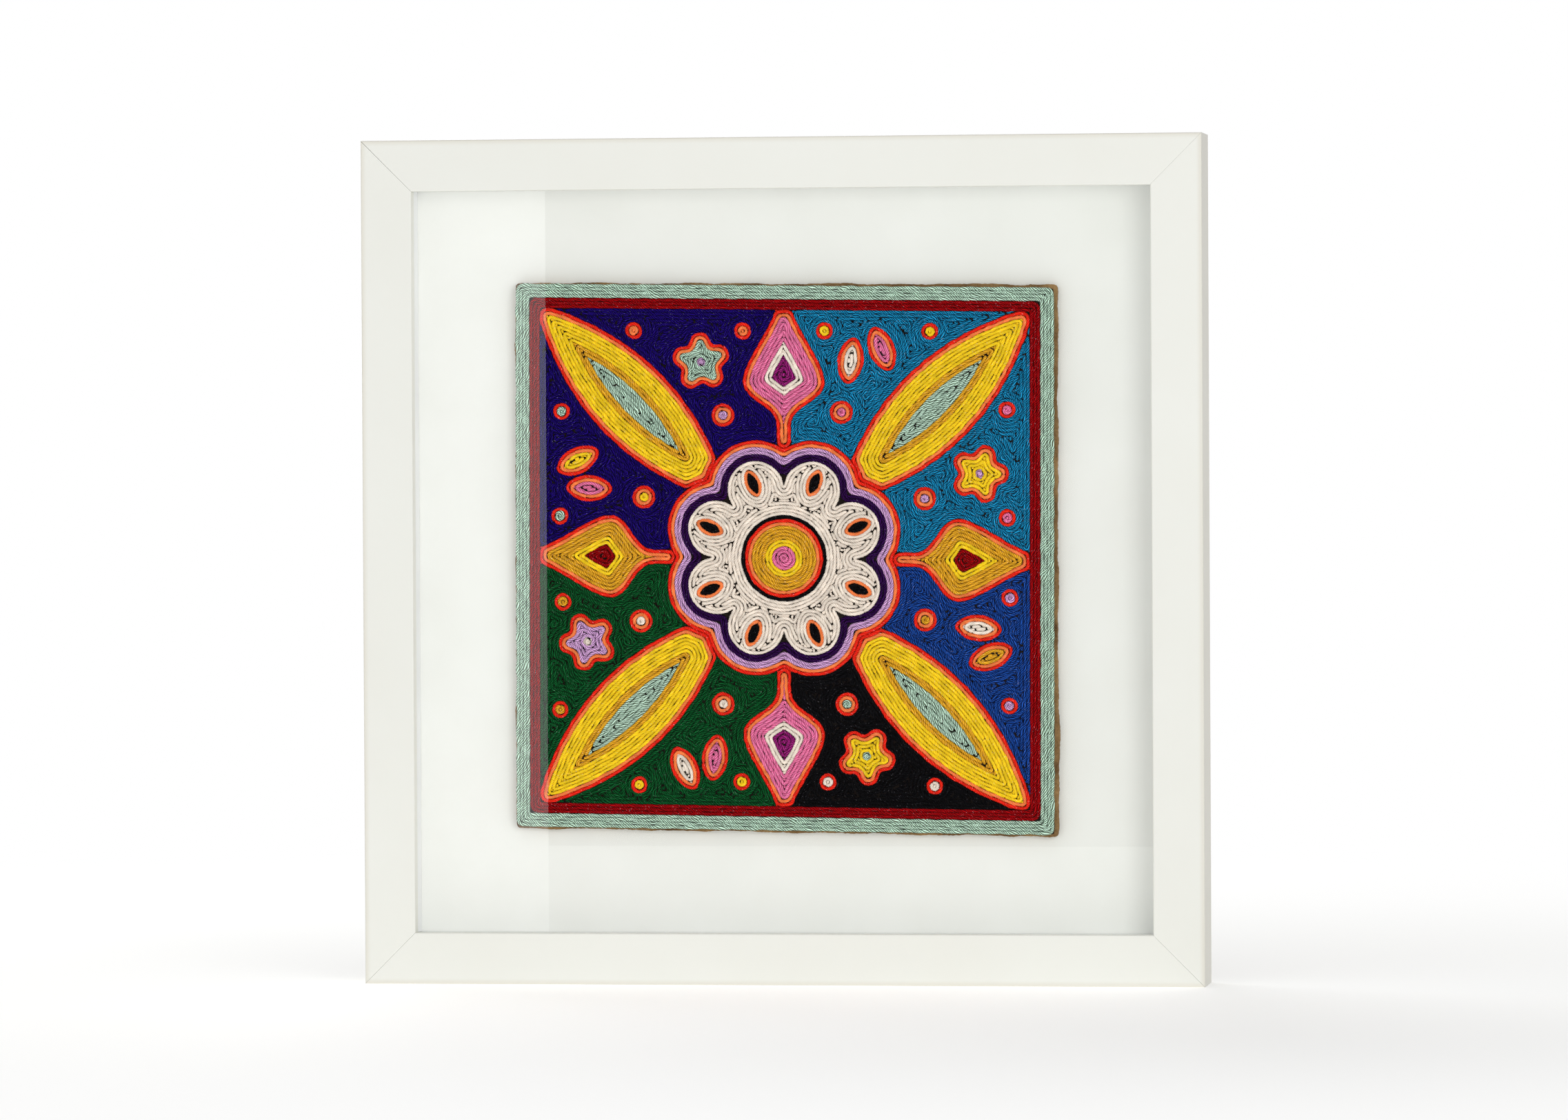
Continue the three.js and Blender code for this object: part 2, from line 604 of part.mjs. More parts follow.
// Leaves and buds, cut to fit the field inside the border and the flower
const fieldSolid = solidOf(yarnField(borderOutline(FIELD_INSET + halfGap)));
const flowerRoom = yarnTool(flowerOutline(PETAL_OUTER + halfGap), 0);
const LEAVES = [
  ['top_right', FIELD_DIAGONAL],
  ['top_left', Math.PI - FIELD_DIAGONAL],
  ['bottom_left', Math.PI + FIELD_DIAGONAL],
  ['bottom_right', -FIELD_DIAGONAL],
];
const BUDS = [
  ['right', 0, FIELD_WIDTH / 2, OCHRE],
  ['top', Math.PI / 2, FIELD_HEIGHT / 2, PINK],
  ['left', Math.PI, FIELD_WIDTH / 2, OCHRE],
  ['bottom', -Math.PI / 2, FIELD_HEIGHT / 2, PINK],
];
let ground = fieldSolid.subtract(flowerRoom);
LEAVES.forEach(([name, turn]) => {
  const leaf = fieldSolid.intersect(yarnTool(leafOutline(0), turn, MOTIF_STEPS)).subtract(flowerRoom);
  addYarn(`leaf_${name}`, geometryOf(leaf), YELLOW);
  ground = ground.subtract(yarnTool(leafOutline(YARN_GAP), turn, MOTIF_STEPS));
});
BUDS.forEach(([name, turn, border, color]) => {
  const bud = fieldSolid.intersect(yarnTool(budOutline(border, 0), turn, MOTIF_STEPS)).subtract(flowerRoom);
  addYarn(`bud_${name}`, geometryOf(bud), color);
  ground = ground.subtract(yarnTool(budOutline(border, YARN_GAP), turn, MOTIF_STEPS));
});

// Grounds, one between each leaf and the bud beside it, anticlockwise from the right
const GROUNDS = [
  ['right_upper', 0, FIELD_DIAGONAL, TEAL],
  ['top_right', FIELD_DIAGONAL, Math.PI / 2, TEAL],
  ['top_left', Math.PI / 2, Math.PI - FIELD_DIAGONAL, NAVY],
  ['left_upper', Math.PI - FIELD_DIAGONAL, Math.PI, NAVY],
  ['left_lower', Math.PI, Math.PI + FIELD_DIAGONAL, GREEN],
  ['bottom_left', Math.PI + FIELD_DIAGONAL, 1.5 * Math.PI, GREEN],
  ['bottom_right', 1.5 * Math.PI, 2 * Math.PI - FIELD_DIAGONAL, BLACK],
  ['right_lower', 2 * Math.PI - FIELD_DIAGONAL, 2 * Math.PI, ROYAL],
];
GROUNDS.forEach(([name, from, to, color]) => {
  const far = 2 * FIELD_CORNER;
  const corners = [0, far, far].map((r, i) => {
    const angle = i === 1 ? from : to;
    return new THREE.Vector2(r * Math.cos(angle), r * Math.sin(angle));
  });
  const part = ground.intersect(yarnTool(new THREE.Shape(corners), 0));
  addYarn(`ground_${name}`, geometryOf(part), color);
});

const framedPainting = new THREE.Group();
framedPainting.add(picture);

export default framedPainting;
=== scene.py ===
"""The looks of a framed yarn painting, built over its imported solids.

Sizes in the classes are in millimetres, and the scene itself is in metres. The picture faces -Y, X runs to
the right as the viewer sees it, and Z is up. Yarn is laid strand by strand along the outlines of the fields
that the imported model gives.
"""

from __future__ import annotations

import logging
import math
from dataclasses import dataclass, field
from enum import Enum

import bmesh
import bpy
import numpy as np
from mathutils import Matrix, Vector


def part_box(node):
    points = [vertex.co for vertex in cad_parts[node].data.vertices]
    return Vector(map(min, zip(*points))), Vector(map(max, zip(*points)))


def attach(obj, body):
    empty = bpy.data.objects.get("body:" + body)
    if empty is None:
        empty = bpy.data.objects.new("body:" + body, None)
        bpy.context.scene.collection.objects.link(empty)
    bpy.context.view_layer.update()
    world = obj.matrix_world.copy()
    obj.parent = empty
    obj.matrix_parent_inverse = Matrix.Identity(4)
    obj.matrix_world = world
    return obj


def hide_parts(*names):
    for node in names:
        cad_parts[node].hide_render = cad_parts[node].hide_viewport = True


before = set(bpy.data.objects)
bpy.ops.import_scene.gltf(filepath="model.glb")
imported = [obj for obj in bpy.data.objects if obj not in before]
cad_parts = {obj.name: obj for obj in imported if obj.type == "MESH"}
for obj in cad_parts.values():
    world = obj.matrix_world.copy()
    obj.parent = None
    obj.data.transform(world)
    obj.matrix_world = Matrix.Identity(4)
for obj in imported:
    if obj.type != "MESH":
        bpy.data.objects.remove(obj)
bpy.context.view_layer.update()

log = logging.getLogger("yarn_painting")

MM = 0.001
SEED = 7

SIDES = ("top", "bottom", "left", "right")
PLIES = 4  # of the yarn
WELD_DECIMALS = 4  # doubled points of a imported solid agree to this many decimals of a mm
FACING = 0.9  # how much of a front face's direction is towards the viewer, at least
TINY = 1e-9

# Sockets of Blender's Mix node: the ends of a mix of numbers, then those of a mix of colours
LEVEL_A = 2
LEVEL_B = 3
MIX_A = 6
MIX_B = 7


# Helpers for nodes and meshes


def linear(colour: str) -> tuple[float, float, float, float]:
    """Turn an sRGB hex value to linear colour.

    Args:
        colour: A value such as "#eeefe9".

    Returns:
        Red, green, blue and an alpha of 1.
    """
    parts = [int(colour[i : i + 2], 16) / 255 for i in (1, 3, 5)]
    lit = [c / 12.92 if c <= 0.04045 else ((c + 0.055) / 1.055) ** 2.4 for c in parts]
    return (*lit, 1.0)


def add_node(
    tree: bpy.types.NodeTree, kind: str, inputs: dict[str | int, object] | None = None, **settings: object
) -> bpy.types.Node:
    """Add a node with its settings and links.

    Args:
        tree: The node tree that takes the node.
        kind: Blender's name for the kind of node, without the ShaderNode that it starts with.
        inputs: For an input, by name or place, a value, or the socket that feeds it, or the node whose first
            output in use feeds it.
        settings: Values for the node's own properties.

    Returns:
        The new node.
    """
    node = tree.nodes.new(f"ShaderNode{kind}")
    for name, value in settings.items():
        setattr(node, name, value)
    for key, value in (inputs or {}).items():
        if isinstance(value, bpy.types.Node):
            value = next(socket for socket in value.outputs if socket.enabled)
        if isinstance(value, bpy.types.NodeSocket):
            tree.links.new(value, node.inputs[key])
        else:
            node.inputs[key].default_value = value
    return node


def new_material(name: str) -> tuple[bpy.types.Material, bpy.types.NodeTree]:
    """Start a material with an empty node tree.

    Args:
        name: What the real material is and how its surface was made.

    Returns:
        The material and its node tree.
    """
    material = bpy.data.materials.new(name)
    material.use_nodes = True
    material.node_tree.nodes.clear()
    return material, material.node_tree


def coat(
    tree: bpy.types.NodeTree, share: bpy.types.Node, tones: tuple[str, str], inputs: dict[str, object]
) -> None:
    """Close a material with a shader whose colour lies between two tones.

    Args:
        tree: The material's node tree.
        share: The node that says how much of the second tone a spot has.
        tones: The two colours, as sRGB hex values.
        inputs: What the shader's other inputs take.
    """
    first, second = (linear(tone) for tone in tones)
    colour = add_node(tree, "Mix", {0: share, MIX_A: first, MIX_B: second}, data_type="RGBA")
    shader = add_node(tree, "BsdfPrincipled", {"Base Color": colour, **inputs})
    add_node(tree, "OutputMaterial", {"Surface": shader})


def per_mm(size: float) -> float:
    """The scale, for coordinates in metres, at which a pattern has this size in mm."""
    return 1 / (size * MM)


def new_mesh(name: str, points: np.ndarray, faces: list[list[int]]) -> bpy.types.Mesh:
    """Make a mesh.

    Args:
        name: Name of the mesh.
        points: Its points, in mm.
        faces: Corners of each face, as places in the points.

    Returns:
        The mesh, in metres.
    """
    mesh = bpy.data.meshes.new(name)
    mesh.from_pydata((points * MM).tolist(), [], faces)
    return mesh


def smooth_over(mesh: bpy.types.Mesh, crease: float) -> None:
    """Turn a mesh's faces outwards and smooth them, up to its sharp edges.

    Args:
        mesh: The mesh, changed in place.
        crease: The angle in degrees over which an edge stays sharp.
    """
    work = bmesh.new()
    work.from_mesh(mesh)
    bmesh.ops.recalc_face_normals(work, faces=work.faces)
    work.to_mesh(mesh)
    work.free()
    mesh.shade_smooth()
    mesh.set_sharp_from_angle(angle=math.radians(crease))


def welded(node: str) -> tuple[np.ndarray, np.ndarray]:
    """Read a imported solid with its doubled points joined.

    Args:
        node: Name of the CAD node.

    Returns:
        Its points in mm and its triangles as places in them.
    """
    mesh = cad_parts[node].data
    mesh.calc_loop_triangles()
    points = np.empty(len(mesh.vertices) * 3)
    mesh.vertices.foreach_get("co", points)
    corners = np.empty(len(mesh.loop_triangles) * 3, dtype=np.int32)
    mesh.loop_triangles.foreach_get("vertices", corners)
    rounded = np.round(points.reshape(-1, 3) / MM, WELD_DECIMALS)
    places, inverse = np.unique(rounded, axis=0, return_inverse=True)
    return places, inverse.reshape(-1)[corners].reshape(-1, 3)


def front_loops(node: str) -> list[np.ndarray]:
    """Find the outlines of a flat solid's front face.

    Args:
        node: Name of the CAD node.

    Returns:
        Closed outlines, holes included, as points across (x) and up (z) in mm.
    """
    points, triangles = welded(node)
    first, second, third = (points[triangles[:, i]] for i in range(3))
    facing = np.cross(second - first, third - first)
    front = triangles[facing[:, 1] < -FACING * np.linalg.norm(facing, axis=1)]
    sides = np.concatenate([front[:, [0, 1]], front[:, [1, 2]], front[:, [2, 0]]]).tolist()
    present = {tuple(side) for side in sides}
    onward: dict[int, list[int]] = {}
    for start, end in sides:
        if (end, start) not in present:
            onward.setdefault(start, []).append(end)
    loops = []
    while onward:
        start = here = next(iter(onward))
        loop = []
        while True:
            loop.append(here)
            ends = onward[here]
            following = ends.pop()
            if not ends:
                del onward[here]
            here = following
            if here == start or here not in onward:
                break
        loops.append(points[loop][:, [0, 2]])
    return loops


def add_object(name: str, data: bpy.types.ID) -> bpy.types.Object:
    """Put a mesh, a lamp or a camera in the scene.

    Args:
        name: Name of the object.
        data: What it shows.

    Returns:
        The new object.
    """
    thing = bpy.data.objects.new(name, data)
    bpy.context.scene.collection.objects.link(thing)
    return thing


def add_piece(
    name: str, mesh: bpy.types.Mesh, body: str, node: str, *finishes: bpy.types.Material
) -> bpy.types.Object:
    """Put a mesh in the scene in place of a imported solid.

    Args:
        name: Name of the piece.
        mesh: Its mesh, in metres, where it stands at rest.
        body: The body that it moves with.
        node: The CAD node that it stands for.
        finishes: The mesh's materials, in the order of its faces' slots.

    Returns:
        The new object.
    """
    for finish in finishes:
        mesh.materials.append(finish)
    piece = add_object(name, mesh)
    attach(piece, body)
    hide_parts(node)
    log.info("%s: %d faces, in place of %s", name, len(mesh.polygons), node)
    return piece


def dress(nodes: list[str], material: bpy.types.Material) -> None:
    """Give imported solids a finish.

    Args:
        nodes: Names of the CAD nodes that keep their own shape.
        material: The finish.
    """
    for node in nodes:
        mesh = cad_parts[node].data
        mesh.materials.clear()
        mesh.materials.append(material)
        log.info("%s: dressed in %s", node, material.name)


# Finishes


class Axis(Enum):
    """The way a rail's grain runs."""

    ACROSS = 0
    UP = 2

    def stretch(self, along: float, across: float) -> tuple[float, ...]:
        """Scales of a grain that is long this way and narrow the other two, from sizes in mm."""
        return tuple(per_mm(along if axis == self.value else across) for axis in range(3))


@dataclass(frozen=True)
class SprayedLacquer:
    """White satin lacquer sprayed on sanded pine: an even pale coat, darker and warmer on its outer sides
    and outer edges, partly painted shade and partly wear.
    """

    grain: Axis
    half_size: float  # of the frame
    white: str = "#eff0ea"
    ivory: str = "#eaeae2"
    shade_and_wear: str = "#ddd8ca"
    shade_and_wear_width: float = 3.5
    shade_and_wear_through: float = 0.2  # nearer to the edge than this, the painted shade and wear are fullest
    shade_and_wear_share: float = 0.6
    cloud: float = 70.0
    grain_long: float = 110.0
    grain_wide: float = 1.6
    peel: float = 1.8  # the real ripple is about 0.6 mm, drawn coarser so that it shows

    def material(self) -> bpy.types.Material:
        """Make the material."""
        material, tree = new_material(f"satin_lacquer_on_pine_{self.grain.name.lower()}")
        place = add_node(tree, "TexCoord").outputs["Object"]
        cloud = add_node(tree, "TexNoise", {"Vector": place, "Scale": per_mm(self.cloud), "Detail": 3.0})
        colour = add_node(
            tree, "Mix", {0: cloud, MIX_A: linear(self.white), MIX_B: linear(self.ivory)}, data_type="RGBA"
        )
        stretched = add_node(
            tree, "Mapping", {"Vector": place, "Scale": self.grain.stretch(self.grain_long, self.grain_wide)}
        )
        grain = add_node(tree, "TexNoise", {"Vector": stretched, "Scale": 1.0, "Detail": 4.0})
        # How far a spot lies from the frame's middle, across or up, whichever is more
        centred = add_node(
            tree, "VectorMath", {0: place, 1: (0.0, 0.0, self.half_size * MM)}, operation="SUBTRACT"
        )
        mirrored = add_node(tree, "VectorMath", {0: centred}, operation="ABSOLUTE")
        sides = add_node(tree, "SeparateXYZ", {0: mirrored})
        outward = add_node(tree, "Math", {0: sides.outputs["X"], 1: sides.outputs["Z"]}, operation="MAXIMUM")
        # Painted shade, with some wear: the outer side faces and a band at the front's outer edge turn
        # darker and warmer
        shaded_and_worn = add_node(
            tree, "MapRange",
            {
                "Value": outward,
                "From Min": (self.half_size - self.shade_and_wear_width) * MM,
                "From Max": (self.half_size - self.shade_and_wear_through) * MM,
                "To Max": self.shade_and_wear_share,
            },
            interpolation_type="SMOOTHSTEP",
        )
        shaded_and_worn_colour = add_node(
            tree, "Mix", {0: shaded_and_worn, MIX_A: colour, MIX_B: linear(self.shade_and_wear)}, data_type="RGBA"
        )
        peel = add_node(tree, "TexNoise", {"Vector": place, "Scale": per_mm(self.peel), "Detail": 2.0})
        gloss = add_node(tree, "MapRange", {"Value": cloud, "To Min": 0.36, "To Max": 0.5})
        ripple = add_node(tree, "Bump", {"Height": peel, "Strength": 0.12, "Distance": 0.1 * MM})
        relief = add_node(
            tree, "Bump", {"Height": grain, "Strength": 0.16, "Distance": 0.12 * MM, "Normal": ripple}
        )
        shader = add_node(
            tree, "BsdfPrincipled", {"Base Color": shaded_and_worn_colour, "Roughness": gloss, "IOR": 1.5, "Normal": relief}
        )
        add_node(tree, "OutputMaterial", {"Surface": shader})
        return material


@dataclass(frozen=True)
class FloatGlass:
    """Float glass, polished by its own making: clear, with a sharp reflection and a trace of green."""

    clear: str = "#ffffff"
    green: str = "#fcfefd"
    drift: float = 160.0

    def material(self) -> bpy.types.Material:
        """Make the material."""
        material, tree = new_material("float_glass_pane")
        place = add_node(tree, "TexCoord").outputs["Object"]
        drift = add_node(tree, "TexNoise", {"Vector": place, "Scale": per_mm(self.drift)})
        tint = add_node(
            tree, "Mix", {0: drift, MIX_A: linear(self.clear), MIX_B: linear(self.green)}, data_type="RGBA"
        )
        glass = add_node(
            tree, "BsdfPrincipled",
            {"Base Color": tint, "Roughness": 0.0, "IOR": 1.5, "Transmission Weight": 1.0},
        )
        open_way = add_node(tree, "BsdfTransparent")
        rays = add_node(tree, "LightPath")
        # Light that falls on the picture goes straight through, as it does through a thin flat pane
        soft_light = add_node(tree, "MixShader", {0: rays.outputs["Is Diffuse Ray"], 1: glass, 2: open_way})
        pane = add_node(tree, "MixShader", {0: rays.outputs["Is Shadow Ray"], 1: soft_light, 2: open_way})
        add_node(tree, "OutputMaterial", {"Surface": pane})
        return material


@dataclass(frozen=True)
class PressedCard:
    """Card or paper pressed from pulp: matt, with a soft felt of fibres and slow changes of tone."""

    name: str
    light: str
    dark: str
    fibre: float = 0.9  # real fibres are about 0.05 mm wide, drawn coarser so that the felt shows
    cloud: float = 45.0
    relief: float = 0.2

    def material(self) -> bpy.types.Material:
        """Make the material."""
        material, tree = new_material(self.name)
        place = add_node(tree, "TexCoord").outputs["Object"]
        cloud = add_node(tree, "TexNoise", {"Vector": place, "Scale": per_mm(self.cloud), "Detail": 5.0})
        felt = add_node(tree, "TexNoise", {"Vector": place, "Scale": per_mm(self.fibre), "Detail": 4.0})
        blend = add_node(tree, "Math", {0: felt, 1: 0.35, 2: cloud}, operation="MULTIPLY_ADD")
        share = add_node(tree, "MapRange", {"Value": blend, "From Min": 0.4, "From Max": 1.0})
        relief = add_node(tree, "Bump", {"Height": felt, "Strength": self.relief, "Distance": 0.08 * MM})
        rough = add_node(tree, "MapRange", {"Value": felt, "To Min": 0.78, "To Max": 0.95})
        coat(tree, share, (self.light, self.dark), {"Roughness": rough, "IOR": 1.45, "Normal": relief})
        return material


@dataclass(frozen=True)
class Hardboard:
    """Brown hardboard, pressed wet on a wire screen: a mottled fibre sheet with the screen's weave in it."""

    brown: str = "#97754f"
    dark: str = "#54391f"
    screen: float = 2.6  # the real weave is about 1.3 mm, drawn coarser so that it shows
    fleck: float = 3.0
    cloud: float = 60.0

    def material(self) -> bpy.types.Material:
        """Make the material."""
        material, tree = new_material("hardboard_screen_pressed")
        place = add_node(tree, "TexCoord").outputs["Object"]
        cloud = add_node(tree, "TexNoise", {"Vector": place, "Scale": per_mm(self.cloud), "Detail": 6.0})
        fleck = add_node(
            tree, "TexNoise", {"Vector": place, "Scale": per_mm(self.fleck), "Detail": 6.0, "Roughness": 0.7}
        )
        # A band of the wave texture repeats every 2 pi / 20 of its own unit
        weave = math.pi / 10 * per_mm(self.screen)
        bands = {"Vector": place, "Scale": weave, "Distortion": 0.4}
        warp = add_node(tree, "TexWave", bands, bands_direction="X")
        weft = add_node(tree, "TexWave", bands, bands_direction="Z")
        screen = add_node(
            tree, "Math", {0: warp.outputs["Fac"], 1: weft.outputs["Fac"]}, operation="MULTIPLY"
        )
        mottle = add_node(tree, "Math", {0: cloud, 1: 0.35, 2: fleck}, operation="MULTIPLY_ADD")
        share = add_node(tree, "Math", {0: screen, 1: 0.3, 2: mottle}, operation="MULTIPLY_ADD")
        spread = add_node(tree, "MapRange", {"Value": share, "From Min": 0.48, "From Max": 1.05})
        height = add_node(tree, "Math", {0: fleck, 1: 0.8, 2: screen}, operation="MULTIPLY_ADD")
        relief = add_node(tree, "Bump", {"Height": height, "Strength": 0.55, "Distance": 0.2 * MM})
        rough = add_node(tree, "MapRange", {"Value": fleck, "To Min": 0.55, "To Max": 0.85})
        coat(tree, spread, (self.dark, self.brown), {"Roughness": rough, "IOR": 1.5, "Normal": relief})
        return material


@dataclass(frozen=True)
class PlatedMetal:
    """Sheet or wire with a thin bright plating: tumbled, so finely scuffed, and dulled in soft patches."""

    name: str
    bright: str
    dull: str
    smooth: float
    scuffed: float
    patch: float = 3.5
    scratch: float = 0.5  # real scuffs are finer than 0.05 mm, drawn coarser so that they show

    def material(self) -> bpy.types.Material:
        """Make the material."""
        material, tree = new_material(self.name)
        place = add_node(tree, "TexCoord").outputs["Object"]
        patch = add_node(tree, "TexNoise", {"Vector": place, "Scale": per_mm(self.patch), "Detail": 4.0})
        scratch = add_node(
            tree, "TexNoise",
            {"Vector": place, "Scale": per_mm(self.scratch), "Detail": 3.0, "Roughness": 0.7},
        )
        rough = add_node(
            tree, "MapRange",
            {
                "Value": patch,
                "From Min": 0.3,
                "From Max": 0.7,
                "To Min": self.smooth,
                "To Max": self.scuffed,
            },
        )
        relief = add_node(tree, "Bump", {"Height": scratch, "Strength": 0.12, "Distance": 0.03 * MM})
        coat(tree, patch, (self.bright, self.dull), {"Metallic": 1.0, "Roughness": rough, "Normal": relief})
        return material


@dataclass(frozen=True)
class MouldedRubber:
    """Soft polyurethane poured in a mould: milky, with a skin that picks up a little dust."""

    milky: str = "#dcdfdb"
    dusty: str = "#c3c4bd"
    dust: float = 1.2

    def material(self) -> bpy.types.Material:
        """Make the material."""
        material, tree = new_material("polyurethane_moulded")
        place = add_node(tree, "TexCoord").outputs["Object"]
        dust = add_node(tree, "TexNoise", {"Vector": place, "Scale": per_mm(self.dust), "Detail": 5.0})
        share = add_node(tree, "MapRange", {"Value": dust, "From Min": 0.45, "From Max": 0.75})
        rough = add_node(tree, "MapRange", {"Value": dust, "To Min": 0.3, "To Max": 0.6})
        milk = {"Subsurface Weight": 0.25, "Subsurface Radius": (1.0, 1.0, 0.9), "Subsurface Scale": 2 * MM}
        coat(tree, share, (self.milky, self.dusty), {"Roughness": rough, "IOR": 1.5, **milk})
        return material


@dataclass(frozen=True)
class SawnFibreboard:
    """Wood fibreboard cut by hand with a coarse saw: brown, fuzzy with loose fibres, paler where cut."""

    dark: str = "#4f3015"
    pale: str = "#b3905e"
    tuft: float = 0.9
    cloud: float = 14.0

    def material(self) -> bpy.types.Material:
        """Make the material."""
        material, tree = new_material("fibreboard_hand_sawn")
        place = add_node(tree, "TexCoord").outputs["Object"]
        tuft = add_node(
            tree, "TexNoise", {"Vector": place, "Scale": per_mm(self.tuft), "Detail": 6.0, "Roughness": 0.75}
        )
        cloud = add_node(tree, "TexNoise", {"Vector": place, "Scale": per_mm(self.cloud), "Detail": 3.0})
        blend = add_node(tree, "Math", {0: tuft, 1: 0.9, 2: cloud}, operation="MULTIPLY_ADD")
        share = add_node(tree, "MapRange", {"Value": blend, "From Min": 0.62, "From Max": 1.3})
        relief = add_node(tree, "Bump", {"Height": tuft, "Strength": 0.9, "Distance": 0.35 * MM})
        rough = add_node(tree, "MapRange", {"Value": tuft, "To Min": 0.85, "To Max": 1.0})
        coat(tree, share, (self.dark, self.pale), {"Roughness": rough, "IOR": 1.45, "Normal": relief})
        return material


@dataclass(frozen=True)
class HandPressedWax:
    """Beeswax with pine resin, warmed and pressed on by hand: dark, with a dull shine on its dents."""

    dark: str = "#0b0705"
    amber: str = "#20140b"
    specular: float = 0.15  # grime dulls most of its shine
    dent: float = 2.2

    def material(self) -> bpy.types.Material:
        """Make the material."""
        material, tree = new_material("beeswax_hand_pressed")
        place = add_node(tree, "TexCoord").outputs["Object"]
        dent = add_node(tree, "TexNoise", {"Vector": place, "Scale": per_mm(self.dent), "Detail": 4.0})
        rough = add_node(tree, "MapRange", {"Value": dent, "To Min": 0.4, "To Max": 0.65})
        relief = add_node(tree, "Bump", {"Height": dent, "Strength": 0.6, "Distance": 0.3 * MM})
        dull = {"Roughness": rough, "IOR": 1.44, "Specular IOR Level": self.specular, "Normal": relief}
        coat(tree, dent, (self.dark, self.amber), dull)
        return material


class Dye(Enum):
    """The dyes of the yarn: the colour of a ply's crown, then a darker colour that is painted shade for the
    groove beside it and the strand's lower flanks.
    """

    MINT = ("#dcffe9", "#414a34")
    CRIMSON = ("#b8080f", "#480206")
    RED = ("#ff3220", "#d81a0e")
    CORAL = ("#ff9256", "#ff763a")
    YELLOW = ("#ffe02c", "#ffc818")
    OCHRE = ("#ffc034", "#bc8012")
    TEAL = ("#1f9cd2", "#021a2e")
    NAVY = ("#220c7e", "#010002")
    ROYAL = ("#2356b6", "#01061e")
    BLACK = ("#141417", "#020203")
    GREEN = ("#126632", "#010a03")
    CREAM = ("#fff4e6", "#f2dfce")
    PINK = ("#ff90bc", "#cc4a7e")
    LAVENDER = ("#f6c4f6", "#845a8a")
    PURPLE = ("#3c1058", "#0a0110")
    MAGENTA = ("#b82c90", "#4a0a37")


